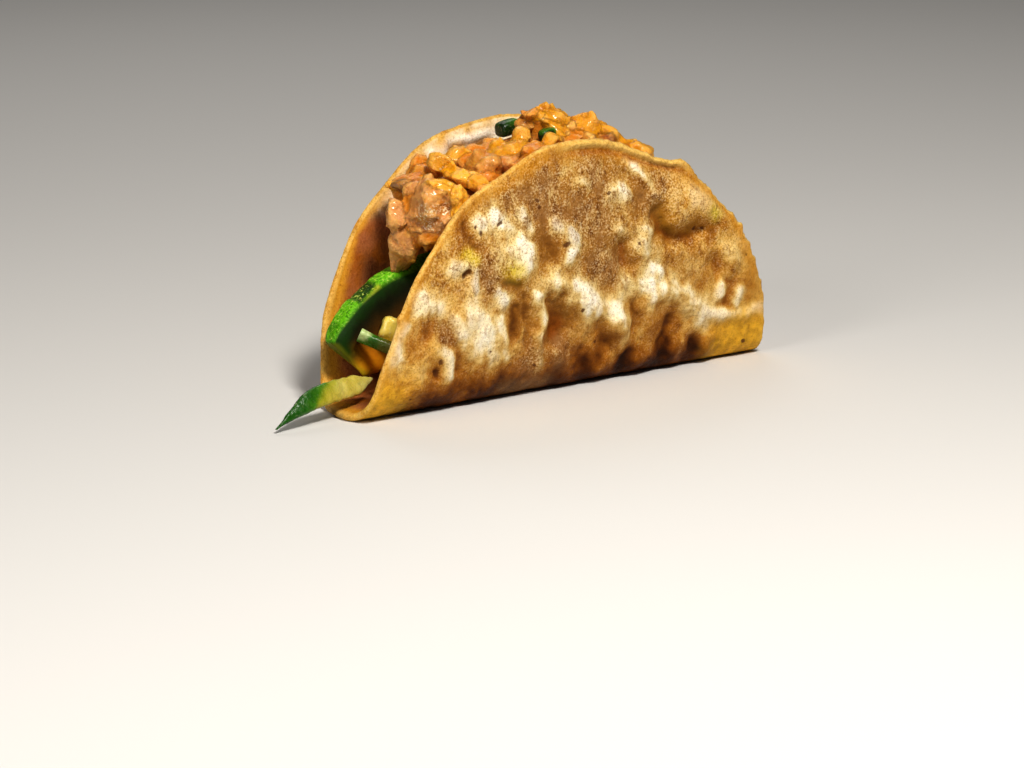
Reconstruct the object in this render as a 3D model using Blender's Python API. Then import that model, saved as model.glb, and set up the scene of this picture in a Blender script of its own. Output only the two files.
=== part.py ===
# Street taco standing on its fold: a corn tortilla folded round chunks of fish in orange cream, with an
# avocado slice, two green chilli strips, a dice of onion and two chilli ends lying on the heap.
# Metres, +Z up. X runs along the fold, the lower wall stands at -Y, and the origin is the middle of the
# flat foot under the fold. The sizes below are millimetres and degrees, and MM turns them into metres.

import math
import random

import bmesh
import bpy
from mathutils import Matrix, Vector
from mathutils.bvhtree import BVHTree

MM = 0.001

# Tortilla before it is folded: nearly a disc
HALF_LENGTH = 57.0          # along the fold
HALF_WIDTH = 63.9           # across the fold
FOLD_OFFSET = 1.2           # the fold misses the middle by this, so the far wall is the taller
THICKNESS = 2.1
ROWS_ALONG = 30             # grid cells along the fold
ROWS_ACROSS = 32            # grid cells across it
FOLD_FINENESS = 0.68        # under 1 packs the rows closer round the fold

# Each wall, from the fold up: half of the flat foot, the bend and its lean at the -X and the +X end,
# how far the wall goes on turning inwards over 60 mm, and how much it slides along X per mm of height
NEAR_WALL = {"side": -1, "foot": 3.5, "bend": (9.0, 5.5), "lean": (77.0, 71.0), "bow": 28.0, "skew": -0.05}
FAR_WALL = {"side": 1, "foot": 5.0, "bend": (6.5, 8.5), "lean": (61.0, 63.0), "bow": 31.0, "skew": 0.08}
BOW_SPAN = 60.0

# Rim: waves as (number of half turns, height), then the uneven edge all round
END_SHIFT = 1.2             # the -X end is this much shorter than the middle line says, the +X end longer
NEAR_WAVES = ((2, 0.2), (3, 0.2))
FAR_WAVES = ((2, -0.8), (3, -1.2))
EDGE_WAVES = ((7, 0.35), (11, 0.3), (17, 0.25))

# Puffed blisters and dents of the near wall: x along the fold, distance up the wall, radius, height
BLISTERS = (
    (31.0, 46.0, 10.0, 1.5),
    (24.5, 39.0, 5.5, -1.3),
    (12.0, 37.0, 4.5, -0.9),
    (-21.0, 41.0, 8.0, 1.0),
    (-2.0, 33.0, 6.0, 1.2),
    (7.0, 27.0, 6.0, 1.2),
    (-6.0, 23.0, 5.5, -0.8),
    (-30.0, 26.0, 7.0, 0.9),
    (-17.0, 29.0, 6.5, 0.9),
    (20.0, 25.0, 5.5, -0.8),
    (41.0, 32.0, 6.0, 0.9),
)
LIP_HEIGHT = 0.8            # the near rim curls out by this
LIP_WIDTH = 3.0
LIP_FROM, LIP_TO = -14.0, 46.0

# Room between pieces that touch
GAP = 0.35

# Avocado slice: a crescent on edge, its round back up
SLICE_MIDDLE = (-12.0, 9.0)         # x and z of the middle of its back's curve
SLICE_BACK = (40.0, 21.5)           # half length and height of the back
SLICE_BLUNTNESS = 2.5
SLICE_HOLLOW = (35.5, 6.0)          # half length and height of the hollow edge
SLICE_HOLLOW_Z = 5.4
SLICE_THICKNESS = 6.6
SLICE_Y = 5.7                       # middle plane at the height SLICE_LEAN_Z
SLICE_LEAN_Z = 6.0
SLICE_LEAN = 10.0                   # leans back against the far wall
SLICE_STATIONS = 26
SLICE_SIDES = 12

# Chilli strips: the middle line, width and thickness
LONG_STRIP = ((-47.0, 0.8, 6.8), (-53.1, -0.3, 6.2), (-59.1, -1.4, 6.0), (-65.1, -2.5, 5.2),
              (-71.0, -3.6, 2.9), (-74.9, -4.3, 1.1))
LONG_STRIP_SIZE = (5.0, 2.3)
SHORT_STRIP = ((-48.7, 2.2, 16.5), (-46.2, 0.0, 15.0), (-43.0, -3.2, 13.2), (-39.0, -7.2, 11.0))
SHORT_STRIP_SIZE = (2.8, 1.8)
STRIP_SIDES = 10
STRIP_STATIONS = 14

ONION_AT = (-41.0, 2.0, 16.6)
ONION_SIZE = (3.9, 3.2, 4.8)

# Chilli ends on the heap: middle, radius, length
CHILLI_BITS = {
    "chilli_bit_a": ((2.8, 16.8, 53.6), 1.8, 4.8),
    "chilli_bit_b": ((7.0, 8.0, 53.0), 1.3, 3.8),
}

# Fish heap: its crown's height along X, where it starts below and above the slice, and its lumps
CROWN = ((-28.0, 41.5), (-21.0, 45.5), (-12.0, 48.0), (-2.0, 50.0), (10.0, 51.0), (20.0, 48.0),
         (29.0, 41.0), (37.0, 34.0), (44.0, 24.0))
LOW_START, HIGH_START, HEAP_END = -20.0, -29.0, 44.0
SLICE_TOP = 32.0
HEAP_Y = (-10.0, 19.0)
LUMP_SIZES = (3.8, 6.2)
LUMP_STEP = 7.4
# Lumps that stand out: middle, and radius along each axis
BIG_LUMPS = (
    ((-31.0, 2.5, 41.0), (6.8, 7.0, 6.6)),
    ((-33.0, 6.0, 37.5), (5.0, 5.4, 5.0)),
    ((-27.0, -3.5, 40.0), (4.4, 5.0, 5.6)),
    ((-34.0, 7.5, 34.5), (2.9, 3.4, 3.6)),
    ((8.8, 12.0, 55.6), (4.8, 4.2, 4.4)),
    ((12.6, 10.6, 53.8), (4.0, 4.0, 3.6)),
    ((19.0, 8.5, 52.0), (4.4, 4.4, 4.3)),
    ((23.4, 7.0, 48.6), (3.6, 4.0, 3.6)),
    ((28.8, 6.5, 46.6), (3.6, 3.8, 3.6)),
    ((-12.0, 8.0, 47.0), (5.4, 5.4, 4.2)),
    ((-3.5, -3.0, 49.0), (4.8, 5.0, 4.0)),
)
HEAP_VOXEL = 1.5
HEAP_KEEP = 0.17            # share of the remeshed faces that stays

COLOURS = {
    "toasted_corn": ((0.55, 0.30, 0.09), 0.75),
    "fish_in_cream": ((0.72, 0.33, 0.11), 0.4),
    "avocado_flesh": ((0.22, 0.33, 0.04), 0.45),
    "green_chilli": ((0.07, 0.16, 0.015), 0.35),
    "onion": ((0.66, 0.50, 0.15), 0.4),
}


def blend(ends, share):
    return ends[0] + (ends[1] - ends[0]) * share


def smooth_step(low, high, value):
    share = min(max((value - low) / (high - low), 0.0), 1.0)
    return share * share * (3.0 - 2.0 * share)


def make_material(name):
    colour, roughness = COLOURS[name]
    material = bpy.data.materials.get(name) or bpy.data.materials.new(name)
    material.use_nodes = True
    shader = material.node_tree.nodes["Principled BSDF"]
    shader.inputs["Base Color"].default_value = (*colour, 1.0)
    shader.inputs["Roughness"].default_value = roughness
    shader.inputs["Metallic"].default_value = 0.0
    material.diffuse_color = (*colour, 1.0)
    return material


def add_object(name, mesh, material):
    mesh.materials.clear()
    mesh.materials.append(make_material(material))
    mesh.shade_smooth()
    mesh.set_sharp_from_angle(angle=math.radians(50.0))
    piece = bpy.data.objects.new(name, mesh)
    bpy.context.collection.objects.link(piece)
    return piece


def mesh_from(name, points, faces):
    """Closed mesh from points in millimetres, with its faces turned outwards."""
    shape = bmesh.new()
    corners = [shape.verts.new(Vector(point) * MM) for point in points]
    for face in faces:
        shape.faces.new([corners[index] for index in face])
    bmesh.ops.recalc_face_normals(shape, faces=shape.faces)
    mesh = bpy.data.meshes.new(name)
    shape.to_mesh(mesh)
    shape.free()
    return mesh


def loft_mesh(name, rings):
    """Skin over rings of equally many points, shut at both ends."""
    sides = len(rings[0])
    points = [point for ring in rings for point in ring]
    faces = []
    for ring in range(len(rings) - 1):
        for side in range(sides):
            a = ring * sides + side
            b = ring * sides + (side + 1) % sides
            faces.append((a, b, b + sides, a + sides))
    last = (len(rings) - 1) * sides
    faces.append(tuple(range(sides)))
    faces.append(tuple(range(last, last + sides)))
    return mesh_from(name, points, faces)


# ---- tortilla

def wall_profile(wall, x, rise):
    """Distance from the fold, height and heading of the outer face, rise millimetres up the wall."""
    share = (x / HALF_LENGTH + 1.0) / 2.0
    bend = blend(wall["bend"], share)
    lean = math.radians(blend(wall["lean"], share))
    foot = wall["foot"]
    if rise < foot:
        return rise, 0.0, 0.0
    if rise < foot + bend * lean:
        heading = (rise - foot) / bend
        return foot + bend * math.sin(heading), bend * (1.0 - math.cos(heading)), heading
    turn = math.radians(wall["bow"]) / BOW_SPAN
    heading = lean + turn * (rise - foot - bend * lean)
    out = foot + bend * math.sin(lean) + (math.sin(heading) - math.sin(lean)) / turn
    up = bend * (1.0 - math.cos(lean)) + (math.cos(lean) - math.cos(heading)) / turn
    return out, up, heading


def relief(x, rise, rim_distance):
    """How far the near wall's outer face stands out at a place, below zero in a dent."""
    height = 0.0
    for centre_x, centre_rise, radius, tall in BLISTERS:
        spread = ((x - centre_x) ** 2 + (rise - centre_rise) ** 2) / radius ** 2
        height += tall * math.exp(-1.5 * spread)
    height *= smooth_step(0.0, LIP_WIDTH, rim_distance)
    along = smooth_step(LIP_FROM - 8.0, LIP_FROM, x) * (1.0 - smooth_step(LIP_TO, LIP_TO + 6.0, x))
    return height + LIP_HEIGHT * along * (1.0 - smooth_step(0.0, LIP_WIDTH, rim_distance))


def shell_point(across, along, lift):
    """Point of the folded disc, across and along running from -1 to 1, lift millimetres inside the
    outer face."""
    x = HALF_LENGTH * along * math.sqrt(1.0 - across * across / 2.0)
    rise = HALF_WIDTH * across * math.sqrt(1.0 - along * along / 2.0)
    turn = math.atan2(abs(rise) / HALF_WIDTH, -x / HALF_LENGTH)
    from_middle = max(abs(across), abs(along))
    wave = sum(tall * math.sin(count * turn) for count, tall in (NEAR_WAVES if rise < 0.0 else FAR_WAVES))
    round_turn = turn if rise > 0.0 else -turn
    wave += sum(tall * math.sin(count * round_turn) for count, tall in EDGE_WAVES)
    wave -= END_SHIFT * math.cos(turn) ** 3
    stretch = 1.0 + wave * from_middle ** 2 / HALF_WIDTH
    x *= stretch
    rise = rise * stretch + FOLD_OFFSET
    wall = FAR_WALL if rise > 0.0 else NEAR_WALL
    out, up, heading = wall_profile(wall, x, abs(rise))
    if wall is NEAR_WALL:
        bump = relief(x, abs(rise), (1.0 - from_middle) * HALF_WIDTH)
        bump *= smooth_step(wall["foot"], wall["foot"] + 10.0, abs(rise))
        lift -= bump if lift == 0.0 else min(bump, 0.0)
    return (x + wall["skew"] * abs(rise),
            wall["side"] * (out - math.sin(heading) * lift),
            up + math.cos(heading) * lift)


def packed(share):
    """Spread -1 to 1 so that the rows lie closer together in the middle."""
    return share * (FOLD_FINENESS + (1.0 - FOLD_FINENESS) * share * share)


def sheet(lift):
    """Grid of points over the folded disc and its faces."""
    points = []
    for row in range(ROWS_ACROSS + 1):
        across = packed(2.0 * row / ROWS_ACROSS - 1.0)
        for column in range(ROWS_ALONG + 1):
            points.append(shell_point(across, 2.0 * column / ROWS_ALONG - 1.0, lift))
    width = ROWS_ALONG + 1
    faces = []
    for row in range(ROWS_ACROSS):
        for column in range(ROWS_ALONG):
            corner = row * width + column
            faces.append((corner, corner + 1, corner + width + 1, corner + width))
    return points, faces


def rim_indices():
    width = ROWS_ALONG + 1
    bottom = list(range(ROWS_ALONG))
    right = [row * width + ROWS_ALONG for row in range(ROWS_ACROSS)]
    top = [ROWS_ACROSS * width + column for column in range(ROWS_ALONG, 0, -1)]
    left = [row * width for row in range(ROWS_ACROSS, 0, -1)]
    return bottom + right + top + left


def make_tortilla():
    outer, faces = sheet(0.0)
    inner, _ = sheet(THICKNESS)
    count = len(outer)
    every = faces + [tuple(count + index for index in reversed(face)) for face in faces]
    rim = rim_indices()
    for index, start in enumerate(rim):
        end = rim[(index + 1) % len(rim)]
        every.append((end, start, start + count, end + count))
    return add_object("tortilla", mesh_from("tortilla", outer + inner, every), "toasted_corn")


def inner_tree():
    """Search tree over the tortilla's inner face, its normals pointing at the filling."""
    points, faces = sheet(THICKNESS)
    tree = BVHTree.FromPolygons([Vector(point) * MM for point in points], faces)
    up = tree.find_nearest(Vector((0.0, 0.0, THICKNESS * MM)))[1].z
    return tree, 1.0 if up > 0.0 else -1.0


def seat(mesh, tree, sign, room):
    """Move points that come nearer than room to the tortilla's inner face back inside it."""
    for vertex in mesh.vertices:
        for _ in range(3):
            place, normal, _, _ = tree.find_nearest(vertex.co)
            inside = (vertex.co - place).dot(normal * sign)
            if inside < room * MM:
                vertex.co += normal * sign * (room * MM - inside)


# ---- contents

def slice_rings(grow):
    """Cross sections of the avocado slice from tip to tip, grow millimetres larger all round."""
    rings = []
    lean = math.tan(math.radians(SLICE_LEAN))
    for station in range(SLICE_STATIONS):
        turn = math.pi * station / (SLICE_STATIONS - 1)
        cosine, sine = math.cos(turn), max(math.sin(turn), 0.0)
        power = 2.0 / SLICE_BLUNTNESS
        back_x = SLICE_MIDDLE[0] - SLICE_BACK[0] * math.copysign(abs(cosine) ** power, cosine)
        back_z = SLICE_MIDDLE[1] + SLICE_BACK[1] * sine ** power
        hollow_x = SLICE_MIDDLE[0] - SLICE_HOLLOW[0] * cosine
        hollow_z = SLICE_HOLLOW_Z + SLICE_HOLLOW[1] * sine
        middle_x, middle_z = (back_x + hollow_x) / 2.0, (back_z + hollow_z) / 2.0
        deep_x, deep_z = (back_x - hollow_x) / 2.0, (back_z - hollow_z) / 2.0
        depth = math.hypot(deep_x, deep_z)
        thick = SLICE_THICKNESS / 2.0 * (0.45 + 0.55 * smooth_step(0.0, 0.5, sine)) + grow
        end_push = grow * (cosine if station in (0, SLICE_STATIONS - 1) else 0.0)
        ring = []
        for side in range(SLICE_SIDES):
            angle = 2.0 * math.pi * (side + 0.5) / SLICE_SIDES
            across, out = math.sin(angle), math.cos(angle)
            across = math.copysign(abs(across) ** 0.5, across)
            out = math.copysign(abs(out) ** 0.7, out) * (depth + grow) / depth
            x = middle_x + deep_x * out - end_push
            z = middle_z + deep_z * out
            y = SLICE_Y + (z - SLICE_LEAN_Z) * lean + thick * across
            ring.append((x, y, z))
        rings.append(ring)
    return rings


def strip_rings(line, size, pointed):
    """Sections along a bent strip with a flat oval section, both ends cut or the last one pointed."""
    rings = []
    for station in range(STRIP_STATIONS):
        share = station / (STRIP_STATIONS - 1)
        place, ahead = line_at(line, share)
        side = ahead.cross(Vector((0.0, 0.0, 1.0))).normalized()
        up = side.cross(ahead).normalized()
        swell = 0.55 + 0.45 * smooth_step(0.0, 0.25, share)
        if pointed:
            swell *= 1.0 - 0.9 * smooth_step(0.5, 1.0, share)
        ring = []
        for corner in range(STRIP_SIDES):
            angle = 2.0 * math.pi * corner / STRIP_SIDES
            wide = math.cos(angle) * size[0] / 2.0 * swell
            thick = math.sin(angle) * size[1] / 2.0 * (0.45 + 0.55 * swell)
            ring.append(place + (up * 0.85 + side * 0.5).normalized() * wide
                        + (side * 0.85 - up * 0.5).normalized() * thick)
        rings.append(ring)
    return rings


def line_at(line, share):
    """Place and direction on the smooth curve through a line's points."""
    spans = len(line) - 1
    span = min(int(share * spans), spans - 1)
    t = share * spans - span
    p1, p2 = Vector(line[span]), Vector(line[span + 1])
    p0 = Vector(line[span - 1]) if span > 0 else 2.0 * p1 - p2
    p3 = Vector(line[span + 2]) if span + 2 <= spans else 2.0 * p2 - p1
    place = 0.5 * (2.0 * p1 + (p2 - p0) * t + (2.0 * p0 - 5.0 * p1 + 4.0 * p2 - p3) * t ** 2
                   + (3.0 * p1 - p0 - 3.0 * p2 + p3) * t ** 3)
    ahead = 0.5 * ((p2 - p0) + 2.0 * (2.0 * p0 - 5.0 * p1 + 4.0 * p2 - p3) * t
                   + 3.0 * (3.0 * p1 - p0 - 3.0 * p2 + p3) * t ** 2)
    return place, ahead.normalized()


def crown_height(x):
    for (x0, z0), (x1, z1) in zip(CROWN, CROWN[1:]):
        if x <= x1:
            return z0 + (z1 - z0) * smooth_step(x0, x1, x)
    return CROWN[-1][1]


def add_lump(shape, centre, radii, turn):
    matrix = (Matrix.Translation(Vector(centre) * MM) @ Matrix.Rotation(turn, 4, "Z")
              @ Matrix.Diagonal((*[radius * MM for radius in radii], 1.0)))
    bmesh.ops.create_icosphere(shape, subdivisions=3, radius=1.0, matrix=matrix)


def heap_mesh():
    """Lumps packed from the fold up to the crown, joined into one skin."""
    chance = random.Random(11)
    shape = bmesh.new()
    z = 5.5
    while z < max(height for _, height in CROWN):
        x = LOW_START if z < SLICE_TOP else HIGH_START
        while x <= HEAP_END:
            y = HEAP_Y[0]
            while y <= HEAP_Y[1]:
                size = chance.uniform(*LUMP_SIZES)
                top = crown_height(x) - size * 0.8 + chance.uniform(-1.0, 1.0)
                place = (x + chance.uniform(-1.5, 1.5), y + chance.uniform(-1.5, 1.5), min(z, top))
                if z < top + LUMP_STEP:
                    add_lump(shape, place, (size * 1.1, size * 1.1, size * 0.9), chance.uniform(0.0, math.pi))
                y += LUMP_STEP
            x += LUMP_STEP
        z += LUMP_STEP
    for centre, radii in BIG_LUMPS:
        add_lump(shape, centre, radii, 0.0)
    mesh = bpy.data.meshes.new("filling")
    shape.to_mesh(mesh)
    shape.free()
    return mesh


def shape_with(mesh, *settings):
    """The mesh that a row of modifiers makes of another one."""
    holder = bpy.data.objects.new("shaping", mesh)
    bpy.context.collection.objects.link(holder)
    for kind, values in settings:
        modifier = holder.modifiers.new(kind, kind)
        for key, value in values.items():
            setattr(modifier, key, value)
    bpy.context.view_layer.update()
    result = bpy.data.meshes.new_from_object(holder.evaluated_get(bpy.context.evaluated_depsgraph_get()))
    bpy.data.objects.remove(holder)
    return result


def make_cutter(name, mesh):
    cutter = bpy.data.objects.new(name, mesh)
    bpy.context.collection.objects.link(cutter)
    cutter.hide_render = True
    cutter.display_type = "WIRE"
    return cutter


def bit_mesh(name, centre, radius, length, grow):
    """Short chilli end lying on its side, rounded at one end."""
    rings = []
    for step, (share, swell) in enumerate(((-0.5, 0.8), (-0.42, 1.0), (0.1, 1.04), (0.38, 0.8), (0.5, 0.35))):
        ring = []
        push = grow * (-1.0 if step == 0 else 1.0 if step == 4 else 0.0)
        for corner in range(12):
            angle = 2.0 * math.pi * corner / 12
            reach = radius * swell + grow
            ring.append((centre[0] - (length * share + push) * 0.94,
                         centre[1] + math.cos(angle) * reach,
                         centre[2] + math.sin(angle) * reach * 0.9 - length * share * 0.15))
        rings.append(ring)
    return loft_mesh(name, rings)


def make_filling(tree, sign):
    blob = shape_with(heap_mesh(),
                      ("REMESH", {"mode": "VOXEL", "voxel_size": HEAP_VOXEL * MM, "adaptivity": 0.0}),
                      ("SMOOTH", {"factor": 0.5, "iterations": 2}),
                      ("DECIMATE", {"ratio": HEAP_KEEP}))
    blob.name = "filling"
    seat(blob, tree, sign, GAP + 0.35)
    cutters = [make_cutter("slot_for_slice", loft_mesh("slot_for_slice", slice_rings(GAP)))]
    for name, (centre, radius, length) in CHILLI_BITS.items():
        cutters.append(make_cutter("bed_of_" + name, bit_mesh(name, centre, radius, length, GAP)))
    heap = add_object("filling", blob, "fish_in_cream")
    for cutter in cutters:
        cut = heap.modifiers.new(cutter.name, "BOOLEAN")
        cut.operation = "DIFFERENCE"
        cut.solver = "EXACT"
        cut.object = cutter
    return heap


def make_contents(tree, sign):
    slab = loft_mesh("avocado_slice", slice_rings(0.0))
    seat(slab, tree, sign, GAP)
    add_object("avocado_slice", slab, "avocado_flesh")
    for name, line, size, pointed in (("chilli_strip_long", LONG_STRIP, LONG_STRIP_SIZE, True),
                                      ("chilli_strip_short", SHORT_STRIP, SHORT_STRIP_SIZE, False)):
        add_object(name, loft_mesh(name, strip_rings(line, size, pointed)), "green_chilli")
    for name, (centre, radius, length) in CHILLI_BITS.items():
        add_object(name, bit_mesh(name, centre, radius, length, 0.0), "green_chilli")


def make_onion():
    shape = bmesh.new()
    matrix = (Matrix.Translation(Vector(ONION_AT) * MM) @ Matrix.Rotation(math.radians(18.0), 4, "Y")
              @ Matrix.Rotation(math.radians(-12.0), 4, "Z")
              @ Matrix.Diagonal((*[size * MM for size in ONION_SIZE], 1.0)))
    bmesh.ops.create_cube(shape, size=1.0, matrix=matrix)
    bmesh.ops.bevel(shape, geom=shape.edges[:], offset=0.7 * MM, segments=2, affect="EDGES", profile=0.5)
    mesh = bpy.data.meshes.new("onion_piece")
    shape.to_mesh(mesh)
    shape.free()
    add_object("onion_piece", mesh, "onion")


def main():
    for old in list(bpy.data.objects):
        bpy.data.objects.remove(old, do_unlink=True)
    make_tortilla()
    tree, sign = inner_tree()
    make_filling(tree, sign)
    make_contents(tree, sign)
    make_onion()


main()
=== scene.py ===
# Looks of the street taco: a toasted corn tortilla folded round flaked fish in orange cream, with a slice
# of avocado, strips of green chilli and a little onion. Numbers in the dictionaries are millimetres.

import itertools
import math

import bmesh
import bpy
import numpy as np
from mathutils import Matrix, Vector
from mathutils.bvhtree import BVHTree


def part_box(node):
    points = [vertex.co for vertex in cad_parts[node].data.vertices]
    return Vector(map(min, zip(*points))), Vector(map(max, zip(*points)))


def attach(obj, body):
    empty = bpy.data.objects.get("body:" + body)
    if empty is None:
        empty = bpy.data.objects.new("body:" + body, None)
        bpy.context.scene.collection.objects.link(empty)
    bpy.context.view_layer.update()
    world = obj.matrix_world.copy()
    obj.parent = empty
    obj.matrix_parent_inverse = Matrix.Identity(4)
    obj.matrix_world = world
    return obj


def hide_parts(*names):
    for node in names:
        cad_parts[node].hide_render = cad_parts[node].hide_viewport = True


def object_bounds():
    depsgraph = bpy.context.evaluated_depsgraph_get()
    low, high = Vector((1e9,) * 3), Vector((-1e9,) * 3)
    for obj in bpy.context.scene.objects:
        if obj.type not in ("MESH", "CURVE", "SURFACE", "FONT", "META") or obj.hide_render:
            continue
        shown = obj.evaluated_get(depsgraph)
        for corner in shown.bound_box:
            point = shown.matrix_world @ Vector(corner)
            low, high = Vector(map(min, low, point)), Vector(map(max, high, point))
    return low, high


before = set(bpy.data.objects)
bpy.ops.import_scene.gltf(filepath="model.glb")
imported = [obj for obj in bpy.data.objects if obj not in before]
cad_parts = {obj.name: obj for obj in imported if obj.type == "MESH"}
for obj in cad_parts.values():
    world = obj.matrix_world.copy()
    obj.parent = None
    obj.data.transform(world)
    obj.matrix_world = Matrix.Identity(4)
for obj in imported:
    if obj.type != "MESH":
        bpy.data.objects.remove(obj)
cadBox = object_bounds()

tortillaLow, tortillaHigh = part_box("tortilla")
mm = (tortillaHigh.x - tortillaLow.x) / 114.7      # the tortilla is 114.7 mm long


# small sums that every piece uses

def smoothStep(low, high, value):
    share = np.clip((value - low) / (high - low), 0.0, 1.0)
    return share * share * (3.0 - 2.0 * share)


def blend(ends, share):
    return ends[0] + (ends[1] - ends[0]) * share


def clouds(places, size, seed):
    # smooth noise from -1 to 1, one swell about every size millimetres, in two or three axes
    axes = places.shape[1]
    lattice = np.random.default_rng(seed).uniform(-1.0, 1.0, (32,) * axes)
    spot = places / size + 57.3
    cell = np.floor(spot).astype(int)
    share = spot - cell
    share = share * share * (3.0 - 2.0 * share)
    total = np.zeros(len(places))
    for corner in itertools.product((0, 1), repeat=axes):
        weight = np.prod(np.where(np.array(corner) == 1, share, 1.0 - share), axis=1)
        total += weight * lattice[tuple(((cell + np.array(corner)) % 32).T)]
    return total


def billows(places, size, seed, layers=3):
    # clouds with finer ones on them, turned so that no grid shows
    turn = np.eye(places.shape[1])
    turn[:2, :2] = ((0.8, -0.6), (0.6, 0.8))
    total = np.zeros(len(places))
    for layer in range(layers):
        total += clouds(places, size / 2.0 ** layer, seed + layer) / 2.0 ** layer
        places = places @ turn
    return total / 1.6


def startTint(points, colour):
    return np.tile(np.array(colour), (len(points), 1))


def paint(tint, colour, cover):
    tint += (np.array(colour) - tint) * np.clip(cover, 0.0, 1.0)[:, None]


def buildMesh(name, points, faces):
    mesh = bpy.data.meshes.new(name)
    mesh.from_pydata((np.asarray(points) * mm).tolist(), [], faces)
    shape = bmesh.new()
    shape.from_mesh(mesh)
    bmesh.ops.recalc_face_normals(shape, faces=shape.faces)
    shape.to_mesh(mesh)
    shape.free()
    mesh.shade_smooth()
    return mesh


def meshPoints(mesh):
    points = np.zeros(len(mesh.vertices) * 3)
    mesh.vertices.foreach_get("co", points)
    return points.reshape(-1, 3) / mm


def meshNormals(mesh):
    normals = np.zeros(len(mesh.vertices) * 3)
    mesh.vertices.foreach_get("normal", normals)
    return normals.reshape(-1, 3)


def setPoints(mesh, points):
    mesh.vertices.foreach_set("co", (points * mm).ravel())
    mesh.update()


def giveTint(mesh, tint):
    layer = mesh.color_attributes.new("tint", "FLOAT_COLOR", "POINT")
    layer.data.foreach_set("color", np.hstack((tint, np.ones((len(tint), 1)))).astype(np.float32).ravel())


def giveAmount(mesh, name, amount):
    layer = mesh.attributes.new(name, "FLOAT", "POINT")
    layer.data.foreach_set("value", np.asarray(amount, np.float32))


def addPiece(name, mesh, material, slot, *nodes):
    mesh.materials.clear()
    mesh.materials.append(material)
    piece = linkObject(name, mesh)
    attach(piece, "root")
    if nodes:
        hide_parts(*nodes)


def squared(value, power):
    # a sine or cosine pushed outwards, so that an oval turns squarer as power falls
    return math.copysign(abs(value) ** power, value)


def linkObject(name, data):
    placed = bpy.data.objects.new(name, data)
    bpy.context.scene.collection.objects.link(placed)
    return placed


def loftFaces(rings, sides):
    faces = []
    for ring in range(rings - 1):
        for side in range(sides):
            a = ring * sides + side
            b = ring * sides + (side + 1) % sides
            faces.append((a, b, b + sides, a + sides))
    faces.append(tuple(range(sides)))
    faces.append(tuple(range((rings - 1) * sides, rings * sides)))
    return faces


# node materials: each starts from its piece's painted tint and adds its own grain

def startMaterial(name, specular=0.5, coat=(0.0, 0.03), glow=(0.0, (1.0, 0.2, 0.1), 1.0)):
    # coat is its weight and roughness, glow the weight, spread of colours and depth of light under the skin
    material = bpy.data.materials.new(name)
    material.use_nodes = True
    sockets = material.node_tree.nodes["Principled BSDF"].inputs
    sockets["Specular IOR Level"].default_value = specular
    sockets["Coat Weight"].default_value, sockets["Coat Roughness"].default_value = coat
    sockets["Subsurface Weight"].default_value, sockets["Subsurface Radius"].default_value = glow[:2]
    sockets["Subsurface Scale"].default_value = glow[2] * mm
    return material, material.node_tree


def finishMaterial(material, colour, roughness, *bumps):
    # each bump is a height and how deep it goes
    tree = material.node_tree
    sockets, normal = tree.nodes["Principled BSDF"].inputs, None
    tree.links.new(colour, sockets["Base Color"])
    tree.links.new(roughness, sockets["Roughness"])
    for height, depth in bumps:
        normal = bumpOf(tree, height, depth, normal)
    tree.links.new(normal, sockets["Normal"])
    return material


def addNode(tree, kind, sockets=None, **settings):
    node = tree.nodes.new(kind)
    for key, value in settings.items():
        setattr(node, key, value)
    for socket, value in (sockets or {}).items():
        if isinstance(value, bpy.types.NodeSocket):
            tree.links.new(value, node.inputs[socket])
        else:
            node.inputs[socket].default_value = value
    return node


def noiseOf(tree, where, size, detail=3.0, roughness=0.55):
    # noise whose grains are about size millimetres
    node = addNode(tree, "ShaderNodeTexNoise", {"Vector": where, "Scale": 1.0 / (size * mm), "Detail": detail,
                                                "Roughness": roughness})
    return node.outputs["Fac"]


def ramp(tree, value, low, high, reach=1.0):
    node = addNode(tree, "ShaderNodeMapRange", {"Value": value, "From Min": low, "From Max": high,
                                                "To Max": reach}, interpolation_type="SMOOTHSTEP")
    return node.outputs["Result"]


def times(tree, a, b):
    return addNode(tree, "ShaderNodeMath", {0: a, 1: b}, operation="MULTIPLY").outputs[0]


def plus(tree, a, b):
    return addNode(tree, "ShaderNodeMath", {0: a, 1: b}, operation="ADD").outputs[0]


def layOver(tree, under, over, amount, blendType="MIX"):
    node = addNode(tree, "ShaderNodeMix", {"Factor": amount}, data_type="RGBA", blend_type=blendType)
    for socket, value in ((node.inputs[6], under), (node.inputs[7], over)):
        if isinstance(value, bpy.types.NodeSocket):
            tree.links.new(value, socket)
        else:
            socket.default_value = (*value, 1.0)
    return node.outputs[2]


def attributeOf(tree, name, output="Fac"):
    return addNode(tree, "ShaderNodeAttribute", attribute_name=name).outputs[output]


def bumpOf(tree, height, depth, before=None):
    sockets = {"Height": height, "Distance": depth * mm, "Strength": 1.0}
    if before is not None:
        sockets["Normal"] = before
    return addNode(tree, "ShaderNodeBump", sockets).outputs["Normal"]


def objectPlace(tree):
    return addNode(tree, "ShaderNodeTexCoord").outputs["Object"]


# tortilla: nearly a disc, folded over a flat foot into two bowed walls

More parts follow.
